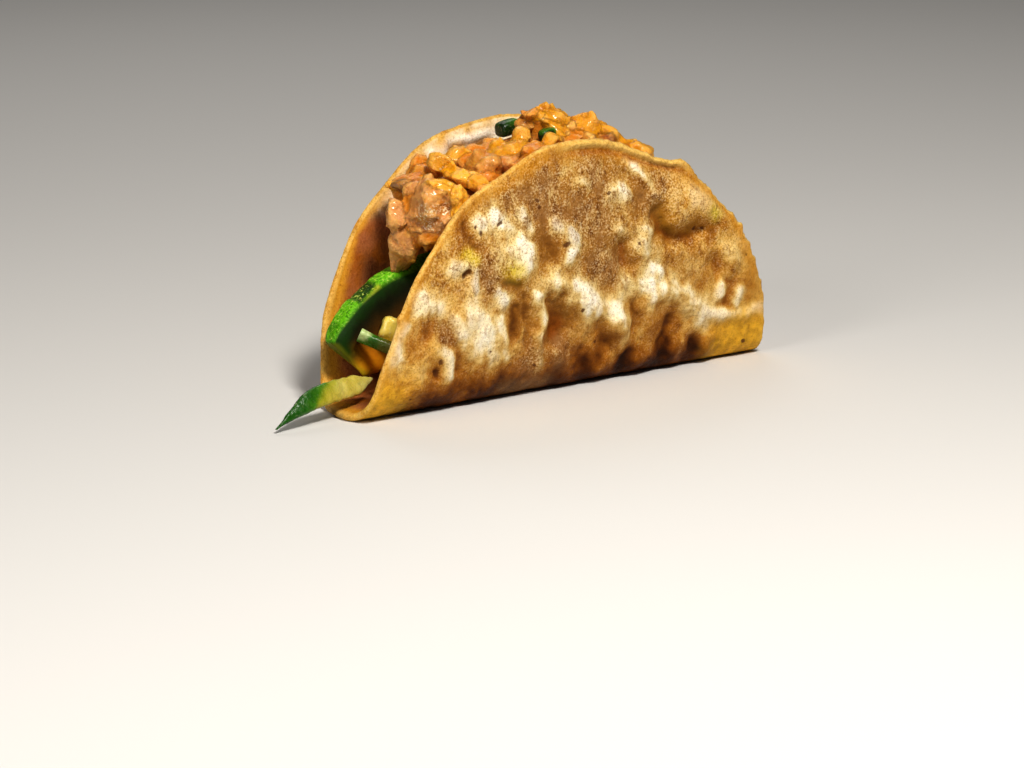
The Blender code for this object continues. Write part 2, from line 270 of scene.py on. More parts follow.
tortilla = {
    "halfLength": 57.0,         # along the fold
    "halfWidth": 63.9,          # across it
    "foldOffset": 1.2,
    "thickness": 2.1,
    "rimThickness": 1.5,
    "cells": (284, 252),        # across and along the fold, even numbers
    "near": {"side": -1, "foot": 3.5, "bend": (9.0, 5.5), "lean": (77.0, 71.0), "bow": 28.0, "skew": -0.05},
    "far": {"side": 1, "foot": 5.0, "bend": (6.5, 8.5), "lean": (61.0, 63.0), "bow": 31.0, "skew": 0.08},
    "bowSpan": 60.0,
    "endShift": 1.2,
    "nearWaves": ((2, 0.2), (3, 0.2)),
    "farWaves": ((2, -0.8), (3, -1.2)),
    "edgeWaves": ((7, 0.35), (11, 0.3), (17, 0.25)),
    "frayed": 0.45,             # how rough the rim is
    "relief": 0.95,             # how strongly the marks stand out
    "lip": (0.5, 1.2, 2.0, 26.0),       # height, width, and where along the near rim it curls out
    # crumbs, teeth and broad dents of the rim: x, distance up the near wall (below 0 up the far one),
    # height, width
    "teeth": ((28.6, 54.7, 1.5, 1.5), (30.4, 53.6, 0.6, 0.8), (36.4, 48.6, 0.5, 0.5), (42.2, 41.9, 0.8, 0.6),
              (44.8, 39.0, 0.9, 0.6), (48.1, 35.1, 0.7, 0.6), (50.0, 31.8, 0.6, 0.6), (-49.6, 33.0, 1.0, 0.8),
              (-50.0, 27.0, -1.2, 10.0), (-54.0, 4.0, 1.8, 5.0), (-56.0, -9.0, -1.8, 8.0)),
    # marks on the near wall: kind, width, height, then points (x, distance up the wall); cream marks are
    # raised paler dough carrying painted highlight, brown marks are sunk grooves darkened partly by toasting
    # and partly by painted shade
    "marks": (
        ("cream", 3.6, 1.5, (-7.0, 33.2), (-3.0, 31.6), (0.8, 29.3), (4.4, 26.6), (8.0, 24.4), (11.4, 22.2)),
        ("cream", 2.6, 1.2, (10.6, 22.6), (12.4, 20.4), (12.6, 17.6)),
        ("cream", 2.8, 1.2, (24.5, 28.0), (28.0, 26.2), (31.8, 24.0), (34.6, 21.4), (35.4, 18.8)),
        ("cream", 1.5, 0.8, (37.5, 20.6), (40.7, 18.9), (45.3, 18.0), (49.8, 18.0), (55.5, 17.9)),
        ("cream", 4.6, 1.2, (-28.6, 28.6), (-26.0, 25.0), (-24.0, 21.0)),
        ("cream", 2.0, 0.6, (-33.8, 29.0), (-32.0, 25.0), (-30.4, 21.0)),
        ("cream", 1.8, 0.5, (-22.6, 27.5), (-20.8, 23.5), (-20.0, 19.5)),
        ("tan", 3.4, 1.1, (-39.5, 23.0), (-37.0, 20.6), (-36.2, 17.0)),
        ("cream", 1.2, 0.4, (-36.6, 22.6), (-35.0, 20.4), (-35.0, 17.0)),
        ("cream", 1.6, 0.3, (-47.8, 29.5), (-48.8, 26.5), (-49.4, 23.5)),
        ("cream", 2.0, 1.0, (-12.8, 31.4), (-11.2, 28.4), (-10.0, 25.4)),
        ("cream", 1.8, 0.9, (-11.6, 22.6), (-10.6, 19.0), (-10.4, 15.6)),
        ("tan", 2.0, 0.8, (-5.2, 17.4), (-3.4, 15.4), (-0.8, 14.2)),
        ("cream", 1.5, 0.6, (-22.4, 33.6), (-21.6, 31.2)),
        ("tan", 4.6, 1.1, (-19.2, 40.4), (-17.2, 39.4)),
        ("cream", 1.7, 0.5, (-16.6, 44.0), (-14.4, 42.6), (-14.6, 39.2), (-16.0, 36.6)),
        ("tan", 3.6, 1.1, (-4.6, 43.4), (-4.2, 40.4)),
        ("cream", 1.7, 0.6, (-6.6, 46.4), (-3.6, 44.4), (-1.9, 41.4), (-3.4, 38.4)),
        ("cream", 1.7, 0.4, (-23.2, 50.2), (-21.2, 49.8), (-20.0, 48.0)),
        ("cream", 1.5, 0.4, (-28.6, 49.4), (-26.4, 49.0)),
        ("cream", 1.6, 0.5, (-34.4, 40.6), (-31.8, 40.5)),
        ("cream", 1.1, 0.4, (-29.2, 39.0), (-29.0, 35.0)),
        ("cream", 2.4, 0.4, (-43.4, 35.2), (-39.8, 32.4)),
        ("cream", 1.6, 0.4, (-16.0, 51.0), (-14.4, 48.2), (-13.2, 46.0)),
        ("cream", 2.0, 0.6, (9.6, 51.4), (12.4, 50.6)),
        ("cream", 1.6, 0.4, (0.3, 55.1), (1.6, 54.6)),
        ("cream", 2.1, 1.0, (14.4, 56.4), (17.2, 53.4), (20.6, 49.8)),
        ("gold", 6.4, 1.9, (27.4, 46.4), (33.0, 45.8)),
        ("tan", 1.4, 0.5, (27.4, 45.2), (27.8, 42.2)),
        ("tan", 2.2, 0.4, (30.0, 49.4), (33.6, 47.6), (36.4, 45.6)),
        ("cream", 2.0, 0.9, (10.4, 42.6), (11.8, 41.6)),
        ("cream", 2.1, 0.9, (17.6, 42.4), (17.8, 39.6), (16.8, 37.6)),
        ("tan", 2.4, 1.0, (42.8, 33.6), (43.4, 31.8)),
        ("cream", 1.4, 0.7, (41.2, 25.8), (40.9, 23.4)),
        ("cream", 1.4, 0.7, (46.2, 24.0), (45.8, 20.8)),
        ("cream", 2.2, 0.8, (19.4, 28.4), (20.4, 27.0)),
        ("tan", 3.0, 0.7, (19.6, 23.8), (20.8, 20.6)),
        ("cream", 1.4, 0.4, (20.2, 32.4), (22.0, 31.6)),
        ("tan", 1.8, 0.5, (11.6, 31.4), (11.2, 28.4)),
        ("tan", 1.6, 0.4, (14.6, 31.0), (14.6, 28.0)),
        ("tan", 2.4, 0.7, (39.4, 13.4), (38.4, 10.6)),
        ("tan", 2.2, 0.7, (30.4, 13.8), (28.8, 12.6)),
        ("tan", 2.2, 0.7, (21.4, 12.4), (20.0, 10.8)),
        ("tan", 2.2, 0.6, (9.4, 12.4), (7.6, 10.6)),
        ("tan", 2.4, 0.5, (-17.0, 26.0), (-15.6, 20.0)),
        ("tan", 2.6, 0.6, (-44.0, 20.0), (-43.0, 16.0)),
        ("brown", 2.4, -2.4, (21.2, 45.0), (22.6, 41.6), (25.2, 39.0), (29.8, 38.8), (34.4, 39.4)),
        ("brown", 2.8, -1.7, (12.0, 38.6), (12.6, 35.8)),
        ("brown", 1.8, -0.9, (12.6, 55.4), (15.0, 52.6), (17.6, 49.4)),
        ("brown", 2.2, -1.3, (-5.6, 28.8), (-4.2, 26.6), (-4.6, 23.0)),
        ("brown", 2.0, -1.3, (-9.2, 29.6), (-7.4, 25.6), (-6.0, 21.0)),
        ("brown", 2.0, -1.2, (6.4, 22.4), (7.6, 19.6), (8.4, 16.8)),
        ("brown", 2.4, -0.9, (0.4, 14.6), (1.8, 13.0)),
        ("brown", 2.2, -1.0, (38.8, 31.6), (40.2, 29.8)),
        ("brown", 2.6, -0.5, (-9.9, 41.4), (-9.4, 39.4)),
        ("brown", 1.5, -0.6, (-31.2, 49.2), (-28.6, 44.0)),
        ("brown", 1.2, -0.6, (-15.6, 31.6), (-15.0, 26.6), (-14.0, 20.0)),
        ("brown", 1.3, -0.6, (-18.0, 29.0), (-18.2, 23.0)),
        ("brown", 1.6, -0.6, (15.8, 25.0), (16.4, 20.0)),
        ("brown", 1.6, -0.6, (26.6, 19.6), (26.4, 15.6)),
        ("brown", 1.5, -0.7, (25.8, 14.0), (26.4, 11.0)),
        ("brown", 1.5, -0.7, (34.8, 13.4), (35.8, 10.6)),
        ("brown", 1.4, -0.6, (14.6, 13.0), (14.4, 10.4)),
        ("brown", 1.4, -0.5, (-40.6, 30.4), (-41.4, 28.0)),
        ("brown", 1.1, -0.3, (-17.5, 34.6), (-20.6, 35.0)),
        ("brown", 1.4, -0.5, (-33.4, 22.6), (-32.6, 17.6)),
        ("brown", 1.0, -0.5, (-39.2, 18.4), (-38.8, 17.2)),
        ("brown", 1.4, -0.5, (43.6, 26.0), (43.4, 21.0)),
        ("brown", 1.6, -0.4, (38.8, 40.0), (37.0, 36.8)),
        ("ash", 4.0, -0.1, (-10.0, 57.0), (-8.0, 53.0)),
        ("ash", 3.6, 0.0, (-18.0, 55.0), (-14.0, 53.6)),
        ("ash", 4.0, 0.0, (-10.5, 50.4), (-6.5, 48.4)),
        ("ash", 3.0, 0.0, (3.5, 57.0), (4.5, 53.0)),
        ("ash", 3.4, -0.2, (-26.8, 39.0), (-24.6, 36.6)),
        ("ash", 3.4, 0.0, (18.4, 48.6), (22.6, 51.4)),
        ("ash", 4.4, 0.0, (0.0, 48.4), (5.0, 46.0)),
        ("ash", 2.0, 0.0, (-37.4, 27.6), (-36.4, 24.6)),
        ("ash", 3.0, 0.0, (-13.6, 15.4), (-11.6, 18.0)),
        ("ash", 2.4, 0.0, (-4.6, 18.4), (-4.2, 15.6)),
        ("ash", 2.8, 0.0, (-17.0, 10.0), (-9.0, 9.6)),
        ("ash", 3.4, 0.0, (4.0, 37.0), (8.0, 34.0)),
        ("yellow", 1.5, 0.0, (-30.8, 42.8), (-30.0, 41.6)),
        ("yellow", 1.8, 0.0, (-19.2, 37.9), (-17.6, 37.6)),
        ("yellow", 1.5, 0.1, (37.0, 44.4), (38.0, 43.2)),
        ("char", 0.5, -0.1, (-11.6, 52.5), (-11.4, 52.4)),
        ("char", 0.45, -0.1, (-11.1, 51.0), (-11.0, 51.0)),
        ("char", 0.39, -0.1, (7.0, 56.2), (7.1, 56.1)),
        ("char", 0.45, -0.1, (7.5, 51.3), (7.9, 51.3)),
        ("char", 0.56, -0.3, (-22.4, 48.1), (-21.8, 48.6)),
        ("char", 0.39, -0.1, (-28.5, 48.6), (-28.5, 48.5)),
        ("char", 0.5, -0.2, (-27.0, 47.2), (-27.0, 47.1)),
        ("char", 0.62, -0.3, (-5.4, 41.6), (-4.9, 41.9)),
        ("char", 0.84, -0.9, (-31.6, 38.5), (-31.0, 38.8)),
        ("char", 0.5, -0.2, (32.9, 40.1), (33.2, 40.0)),
        ("char", 0.45, -0.2, (35.2, 39.5), (35.5, 39.5)),
        ("char", 0.39, -0.1, (16.1, 39.1), (16.2, 39.0)),
        ("char", 0.56, -0.2, (-38.4, 20.8), (-38.4, 20.5)),
        ("char", 0.78, -0.3, (-38.9, 18.2), (-38.8, 17.7)),
        ("char", 0.34, -0.1, (-44.6, 12.5), (-44.5, 12.5)),
        ("char", 0.45, -0.1, (-12.0, 15.7), (-11.9, 15.7)),
        ("char", 0.56, -0.2, (0.1, 26.3), (0.2, 26.6)),
        ("char", 0.45, -0.1, (5.7, 17.5), (5.8, 17.4)),
        ("char", 0.84, -0.3, (26.4, 18.5), (26.7, 18.5)),
        ("char", 0.34, -0.1, (-25.0, 21.0), (-24.9, 21.0)),
        ("char", 0.56, -0.1, (50.5, 10.7), (50.7, 10.5)),
        ("char", 0.34, -0.1, (47.7, 32.3), (47.8, 32.3)),
    ),
    # bulges and creases on the far wall's inner face, the same way
    "innerMarks": (
        ("cream", 2.4, 1.3, (-10.5, 62.6), (-6.6, 63.2), (-4.0, 63.8)),
        ("brown", 1.2, -0.6, (-13.5, 60.4), (-9.0, 61.2), (-5.5, 61.0), (-2.5, 61.6)),
        ("cream", 2.2, 0.8, (-17.4, 60.2), (-15.0, 61.4)),
        ("gold", 1.5, 0.5, (-16.2, 63.4), (-14.6, 64.0)),
        ("gold", 1.2, 0.3, (-3.8, 65.2), (-2.0, 65.4)),
        ("brown", 2.3, 1.1, (-23.4, 59.2), (-22.0, 57.2)),
        ("gold", 1.1, 0.4, (-20.8, 59.6), (-20.6, 57.6)),
        ("cream", 2.0, 0.5, (-27.6, 56.4), (-26.2, 58.4)),
        ("gold", 1.4, 0.2, (-20.0, 62.4), (-18.2, 63.2)),
        ("gold", 1.6, 0.2, (-11.6, 65.6), (-9.0, 66.0)),
    ),
}


def flatPlace(across, along, push=0.0):
    # the place on the unfolded tortilla of each grid point, and its distance from the rim
    x = tortilla["halfLength"] * along * np.sqrt(1.0 - across * across / 2.0)
    rise = tortilla["halfWidth"] * across * np.sqrt(1.0 - along * along / 2.0)
    turn = np.arctan2(np.abs(rise) / tortilla["halfWidth"], -x / tortilla["halfLength"])
    outwards = np.maximum(np.abs(across), np.abs(along))
    near = sum(tall * np.sin(count * turn) for count, tall in tortilla["nearWaves"])
    far = sum(tall * np.sin(count * turn) for count, tall in tortilla["farWaves"])
    wave = np.where(rise < 0.0, near, far)
    roundTurn = np.where(rise > 0.0, turn, -turn)
    wave += sum(tall * np.sin(count * roundTurn) for count, tall in tortilla["edgeWaves"])
    wave -= tortilla["endShift"] * np.cos(turn) ** 3
    onRim = np.stack((np.cos(roundTurn), np.sin(roundTurn)), 1) * 60.0
    rough = (billows(onRim, 3.2, 5, 3) + 0.7 * billows(onRim, 1.3, 9, 2)) * tortilla["frayed"]
    rough *= 0.2 + 0.8 * smoothStep(0.0, 28.0, x)
    for toothX, toothRise, tall, width in tortilla["teeth"]:
        tooth = tall * np.exp(-((x - toothX) ** 2 + (rise + toothRise) ** 2) / width ** 2 / 2.0)
        if width > 3.0:
            wave += tooth
        else:
            rough += tooth
    wave = wave * outwards ** 2 + (rough + push) * outwards ** 30
    stretch = 1.0 + wave / tortilla["halfWidth"]
    return x * stretch, rise * stretch + tortilla["foldOffset"], (1.0 - outwards) * tortilla["halfWidth"]


def wallPlace(wall, x, rise):
    share = (x / tortilla["halfLength"] + 1.0) / 2.0
    bend = blend(wall["bend"], share)
    lean = np.radians(blend(wall["lean"], share))
    turn = math.radians(wall["bow"]) / tortilla["bowSpan"]
    onBend = np.clip((rise - wall["foot"]) / bend, 0.0, lean)
    heading = onBend + turn * np.maximum(rise - wall["foot"] - bend * lean, 0.0)
    out = np.minimum(rise, wall["foot"]) + bend * np.sin(onBend) + (np.sin(heading) - np.sin(onBend)) / turn
    up = bend * (1.0 - np.cos(onBend)) + (np.cos(onBend) - np.cos(heading)) / turn
    return out, up, heading


def foldUp(x, rise, lift):
    # from the flat tortilla to the folded one, lift millimetres inside its outer face
    near, far = tortilla["near"], tortilla["far"]
    isFar = rise > 0.0
    nearOut, nearUp, nearHeading = wallPlace(near, x, np.abs(rise))
    farOut, farUp, farHeading = wallPlace(far, x, np.abs(rise))
    out, up = np.where(isFar, farOut, nearOut), np.where(isFar, farUp, nearUp)
    heading = np.where(isFar, farHeading, nearHeading)
    skew = np.where(isFar, far["skew"], near["skew"])
    side = np.where(isFar, far["side"], near["side"])
    return np.stack((x + skew * np.abs(rise), side * (out - np.sin(heading) * lift),
                     up + np.cos(heading) * lift), 1)


def besideLine(x, rise, line):
    # distance of each point from a bent line, and whether it lies on its upper +X side (1) or the other (-1)
    nearest, side = np.full(len(x), 1e9), np.zeros(len(x))
    for (x0, r0), (x1, r1) in zip(line, line[1:]):
        dx, dr = x1 - x0, r1 - r0
        share = np.clip(((x - x0) * dx + (rise - r0) * dr) / (dx * dx + dr * dr), 0.0, 1.0)
        awayX, awayR = x - x0 - share * dx, rise - r0 - share * dr
        distance = np.hypot(awayX, awayR)
        closer = distance < nearest
        side = np.where(closer, (awayX * 0.6 + awayR * 0.8) / np.maximum(distance, 1e-6), side)
        nearest = np.where(closer, distance, nearest)
    return nearest, side


def markCover(x, rise, kind, width, line, steep=0.25):
    # 1 along the middle of a mark, falling off sooner on its upper +X side
    distance, side = besideLine(x, rise, line)
    lean = steep if kind in ("cream", "tan", "gold") else 0.0
    return np.exp(-(distance / (width * (1.0 - lean * side))) ** 2)


def warped(x, rise, reach=0.9):
    place = np.stack((x, rise), 1)
    return x + reach * billows(place, 3.6, 1, 2), rise + reach * billows(place, 3.6, 11, 2)


def nearRelief(x, rise, rimGap):
    place = np.stack((x, rise), 1)
    wx, wRise = warped(x, rise)
    height = np.zeros(len(x))
    for kind, width, tall, *line in tortilla["marks"]:
        if tall:
            spot = (x, rise) if kind == "char" else (wx, wRise)
            height += tall * tortilla["relief"] * markCover(*spot, kind, width, line)
    low = 1.0 - smoothStep(20.0, 34.0, rise)
    height += billows(place * (1.0, 0.45), 4.6, 21, 2) * (0.12 + 0.3 * low)
    height += billows(place * (1.0, 0.7), 2.4, 31, 3) * 0.22
    height += np.abs(billows(place, 1.6, 41, 2)) * 0.22
    tall, width, start, end = tortilla["lip"]
    edge = 1.0 - smoothStep(0.0, width, rimGap)
    lip = smoothStep(start - 8.0, start, x) * (1.0 - smoothStep(end, end + 6.0, x))
    height = height * smoothStep(0.0, width, rimGap) * (0.35 + 0.65 * smoothStep(2.0, 7.0, rimGap))
    height += tall * lip * edge - 0.55 * lip * np.exp(-((rimGap - width * 1.35) / 0.7) ** 2)
    return height * smoothStep(4.0, 11.0, rise)


def farRelief(x, rise, rimGap):
    place = np.stack((x, rise), 1)
    low = 1.0 - smoothStep(22.0, 40.0, rise)
    lumps = billows(place, 9.0, 66, 2)
    height = billows(place * (1.0, 0.45), 5.0, 61, 2) * (0.3 + 0.6 * low)
    height += smoothStep(0.1, 0.55, lumps) * 1.4 - smoothStep(0.25, 0.6, -lumps) * 1.1
    height += billows(place * (1.0, 0.7), 2.6, 71, 3) * 0.2 + np.abs(billows(place, 1.5, 76, 2)) * 0.16
    return height * smoothStep(0.0, 6.0, rimGap) * smoothStep(5.0, 12.0, rise)


def innerRelief(x, rise):
    place = np.stack((x, rise), 1)
    height = billows(place, 8.0, 81, 3) * 0.35 * smoothStep(6.0, 14.0, np.abs(rise))
    height += billows(place, 2.8, 91, 2) * 0.2 * smoothStep(48.0, 56.0, np.abs(rise))
    wx, wRise = warped(x, rise)
    for kind, width, tall, *line in tortilla["innerMarks"]:
        height += tall * markCover(wx, wRise, kind, width, line, 0.0)
    return height


def litSlope(relief, x, rise, rimGap):
    # how far the outer face turns up and towards +X
    step = 0.35
    here = relief(x, rise, rimGap)
    alongX = (relief(x + step, rise, rimGap) - here) / step
    up = (relief(x, rise + step, rimGap) - here) / step
    return -(0.85 * up + 0.4 * alongX)


toasting = {
    # from burnt to untoasted
    "bake": ((-1.5, (0.035, 0.010, 0.001)), (-1.0, (0.10, 0.032, 0.003)), (-0.5, (0.25, 0.098, 0.010)),
             (0.0, (0.43, 0.205, 0.030)), (0.4, (0.57, 0.34, 0.085)), (0.8, (0.77, 0.59, 0.26)),
             (1.2, (0.93, 0.85, 0.62)), (1.6, (0.97, 0.93, 0.80))),
    # how far each kind of mark moves the bake level; the lift of the cream marks is partly painted highlight
    # and the drop of the brown marks partly painted shade
    "lifts": {"cream": 1.0, "tan": 0.4, "gold": 0.35, "brown": -0.85, "ash": -0.35, "yellow": 0.5,
              "char": 0.0},
    "gold": (0.62, 0.31, 0.022),
    "ash": (0.33, 0.17, 0.058),
    "char": (0.11, 0.035, 0.008),
    # painted shade: darkens and warms the lower wall; the ends are darkened and warmed the same way
    "warmth": (0.88, 0.70, 0.38),   # multiplies the tint of the lower wall and the ends
    "yellow": (0.76, 0.58, 0.020),
    "margin": (0.60, 0.27, 0.014),
    "corner": (0.92, 0.54, 0.045),
    "bead": (0.80, 0.54, 0.15),
    # painted shade in the wall's hollows and in the crease under the rim's bead
    "creaseShade": (0.27, 0.075, 0.004),
    # orange stain, also used as painted shade low on the inner face and in its creases
    "stainAndShade": (0.32, 0.080, 0.001),
}


def baked(level):
    places = [place for place, _ in toasting["bake"]]
    return np.stack([np.interp(level, places, [colour[band] for _, colour in toasting["bake"]])
                     for band in range(3)], 1)


def toastAndLightLevel(place, rise, lit, seed):
    # uneven toasting from broad clouds and lumps a few millimetres wide, with painted highlight on the side
    # of each bump that turns up and towards +X, painted shade on the side turned away, and painted shade
    # darkening the foot of the wall
    wide, middle = billows(place, 9.0, seed, 3), billows(place * (1.0, 0.6), 3.2, seed + 5, 3)
    fine = billows(place, 1.3, seed + 10, 2)
    foot = 1.0 - smoothStep(7.0, 19.0, rise + 3.0 * wide)
    return 0.08 + 0.22 * wide + 0.58 * middle + 0.22 * fine + 0.5 * np.clip(lit, -1.2, 1.0) - 1.2 * foot


def tintNearWall(x, rise, rimGap, height):
    # tint of the near wall's outer face, how much fine stipple it takes, and its burnt dots
    place = np.stack((x, rise), 1)
    wx, wRise = warped(x, rise, 1.2)
    fine, wide = billows(place, 1.3, 111, 3), billows(place, 9.0, 101, 3)
    level = toastAndLightLevel(place, rise, litSlope(nearRelief, x, rise, rimGap), 101)
    # lighter towards the left end as painted light, and lighter too at the right end and higher up the wall
    level += 0.3 * (1.0 - smoothStep(-38.0, -10.0, x)) * smoothStep(10.0, 18.0, rise)
    level += 0.45 * smoothStep(26.0, 42.0, x) + 0.14 * smoothStep(20.0, 34.0, rise)
    covers = {kind: np.zeros(len(x)) for kind in toasting["lifts"]}
    for kind, width, _, *line in tortilla["marks"]:
        spot = ((x + wx) / 2.0, (rise + wRise) / 2.0) if kind == "char" else (wx, wRise)
        cover = markCover(*spot, kind, width * 1.15, line)
        covers[kind] = np.maximum(covers[kind], cover)
    streak = billows(place * (1.0, 0.45), 1.7, 115, 3)
    for kind, cover in covers.items():
        level += toasting["lifts"][kind] * cover * (1.0 + (0.7 * streak if kind == "cream" else 0.0))
    tint = baked(level)
    # painted shade: the lower wall and the ends darker and warmer, less so under cream marks
    ends = np.maximum(smoothStep(22.0, 38.0, x + 4.0 * wide), 1.0 - smoothStep(-36.0, -20.0, x + 4.0 * wide))
    warm = np.maximum(1.0 - smoothStep(14.0, 32.0, rise + 5.0 * wide), ends)
    tint *= 1.0 - (warm * (1.0 - 0.6 * covers["cream"]))[:, None] * (1.0 - np.array(toasting["warmth"]))
    paint(tint, toasting["ash"], covers["ash"] * (0.65 + 0.4 * fine))
    paint(tint, toasting["gold"], covers["gold"] * 0.4)
    paint(tint, toasting["yellow"], covers["yellow"] * 0.8)
    # painted shade in the hollows
    paint(tint, toasting["creaseShade"], smoothStep(0.7, 1.9, -height + 0.3 * fine) * 0.85)
    margin = 1.0 - smoothStep(1.5, 5.5 + 3.0 * smoothStep(24.0, 32.0, x), rimGap + fine)
    paint(tint, toasting["margin"], margin * np.clip(0.55 + 0.6 * wide, 0.0, 1.0))
    tips = (1.0 - smoothStep(-52.0, -40.0, x)) + smoothStep(36.0, 45.0, x)
    tips = tips * (1.0 - smoothStep(14.0, 21.0, rise + 2.0 * wide))
    paint(tint, toasting["corner"], tips * (0.7 + 0.35 * fine - 0.4 * smoothStep(8.0, 3.0, rise)))
    _, width, start, end = tortilla["lip"]
    lip = smoothStep(start - 10.0, start, x) * (1.0 - smoothStep(end, end + 8.0, x))
    paint(tint, toasting["bead"], (1.0 - smoothStep(width * 0.6, width, rimGap)) * (0.15 + 0.7 * lip))
    # painted shade in the crease under the bead
    paint(tint, toasting["creaseShade"], lip * np.exp(-((rimGap - width * 1.7 - 0.4 * fine) / 0.6) ** 2) * 0.7)
    stipple = 0.3 + 0.45 * smoothStep(24.0, 40.0, rise) + covers["ash"] * 0.5 - margin * 0.5 - tips * 0.4
    stipple = np.clip(stipple, 0.05, 1.0) * smoothStep(-0.6, 0.2, level)
    return tint, stipple, covers["char"]


def tintFarWall(x, rise, rimGap, height):
    place = np.stack((x, rise), 1)
    fine, wide = billows(place, 1.3, 131, 3), billows(place, 9.0, 121, 3)
    level = toastAndLightLevel(place, rise, litSlope(farRelief, x, rise, rimGap), 121)
    # painted highlight on the bumps, painted shade in the hollows
    level += 0.7 * smoothStep(0.3, 1.3, height) - 0.7 * smoothStep(0.2, 1.0, -height)
    tint = baked(level)
    ash = smoothStep(0.0, 0.5, billows(place, 14.0, 141, 3)) * smoothStep(26.0, 40.0, rise)
    paint(tint, toasting["ash"], ash * (0.5 + 0.3 * fine))
    margin = 1.0 - smoothStep(1.5, 5.5, rimGap + fine)
    paint(tint, toasting["margin"], margin * np.clip(0.55 + 0.6 * wide, 0.0, 1.0))
    stipple = 0.35 + 0.25 * smoothStep(26.0, 38.0, rise) + ash * 0.5 - margin * 0.5
    stipple = np.clip(stipple, 0.05, 1.0) * smoothStep(-0.6, 0.2, level)
    return tint, stipple, smoothStep(0.55, 0.95, billows(place, 3.6, 151, 2))


def tintInside(x, rise, rimGap):
    # creamy near the rim; below the filling's top it is darker orange, partly soak stain and partly painted
    # shade
    place = np.stack((x, rise), 1)
    wide, fine, middle = billows(place, 8.0, 161, 3), billows(place, 1.6, 171, 3), billows(place, 3.6, 166, 3)
    wx, wRise = warped(x, rise)
    level = 1.25 + 0.3 * wide + 0.7 * middle + 0.35 * fine
    covers = {kind: np.zeros(len(x)) for kind in toasting["lifts"]}
    for kind, width, _, *line in tortilla["innerMarks"]:
        covers[kind] = np.maximum(covers[kind], markCover(wx, wRise, kind, width * 1.1, line, 0.0))
    level += 1.2 * covers["cream"] - 0.2 * covers["gold"] - 1.1 * covers["brown"]
    tint = baked(level)
    paint(tint, toasting["gold"], covers["gold"] * 0.6 + smoothStep(0.15, 0.6, -middle) * 0.5)
    # brown inner marks: orange-brown stain, with painted shade in the creases
    paint(tint, toasting["stainAndShade"], covers["brown"] * 0.6)
    # soak stain and painted shade below the filling's top
    high = 54.0 + 5.0 * smoothStep(-34.0, -18.0, x)
    soakedAndShaded = 1.0 - smoothStep(high - 7.0, high, np.abs(rise) + 3.0 * wide)
    paint(tint, toasting["stainAndShade"], soakedAndShaded * 0.95)
    band = (1.0 - smoothStep(2.5, 8.0, rimGap + 1.5 * middle)) * (1.0 - smoothStep(-30.0, -22.0, x))
    paint(tint, toasting["gold"], band * 0.8)
    paint(tint, toasting["bead"], (1.0 - smoothStep(0.8, 2.2, rimGap + 0.4 * fine)) * 0.4)
    return tint, 0.12 * (1.0 - soakedAndShaded), np.zeros(len(x))


def borderLoop(rows, columns):
    # indices of a grid's outer points, once round
    width = columns + 1
    bottom = list(range(columns))
    right = [row * width + columns for row in range(rows)]
    top = [rows * width + column for column in range(columns, 0, -1)]
    left = [row * width for row in range(rows, 0, -1)]
    return bottom + right + top + left


def gridFaces(rows, columns, start, turned):
    width = columns + 1
    faces = []
    for row in range(rows):
        for column in range(columns):
            a = start + row * width + column
            face = (a, a + 1, a + width + 1, a + width)
            faces.append(face[::-1] if turned else face)
    return faces


def tortillaMaterial():
    material, tree = startMaterial("toastedCorn", specular=0.08, glow=(0.05, (1.0, 0.5, 0.2), 1.0))
    where = objectPlace(tree)
    squeezed = addNode(tree, "ShaderNodeMapping", {"Vector": where, "Scale": (1.0, 1.0, 0.55)})
    streaked = squeezed.outputs["Vector"]
    tint, stipple = attributeOf(tree, "tint", "Color"), attributeOf(tree, "stipple")
    grain = noiseOf(tree, where, 0.42, 2.0, 0.6)
    specks = noiseOf(tree, where, 0.8, 4.0, 0.65)
    mottle = noiseOf(tree, streaked, 1.7, 4.0, 0.6)
    browner = (0.52, 0.38, 0.23)

    def stippled(value, low, high, reach, least):
        # a ramp that shows most where the stipple is strong
        return times(tree, ramp(tree, value, low, high), plus(tree, times(tree, stipple, reach), least))

    colour = layOver(tree, tint, browner, stippled(mottle, 0.48, 0.72, 1.1, 0.15), "MULTIPLY")
    colour = layOver(tree, colour, (0.84, 0.64, 0.28), stippled(mottle, 0.47, 0.28, 0.5, 0.005))
    colour = layOver(tree, colour, browner, ramp(tree, specks, 0.52, 0.7, 0.5), "MULTIPLY")
    colour = layOver(tree, colour, (0.82, 0.66, 0.40), stippled(grain, 0.5, 0.66, 0.5, 0.005))
    colour = layOver(tree, colour, browner, stippled(grain, 0.5, 0.34, 0.7, 0.25), "MULTIPLY")
    burnt = ramp(tree, plus(tree, attributeOf(tree, "char"), times(tree, specks, 0.9)), 0.8, 1.2, 0.88)
    colour = layOver(tree, colour, toasting["char"], burnt)
    roughness = plus(tree, times(tree, mottle, 0.3), 0.34)
    return finishMaterial(material, colour, roughness, (mottle, 0.3), (specks, 0.2), (grain, 0.1))


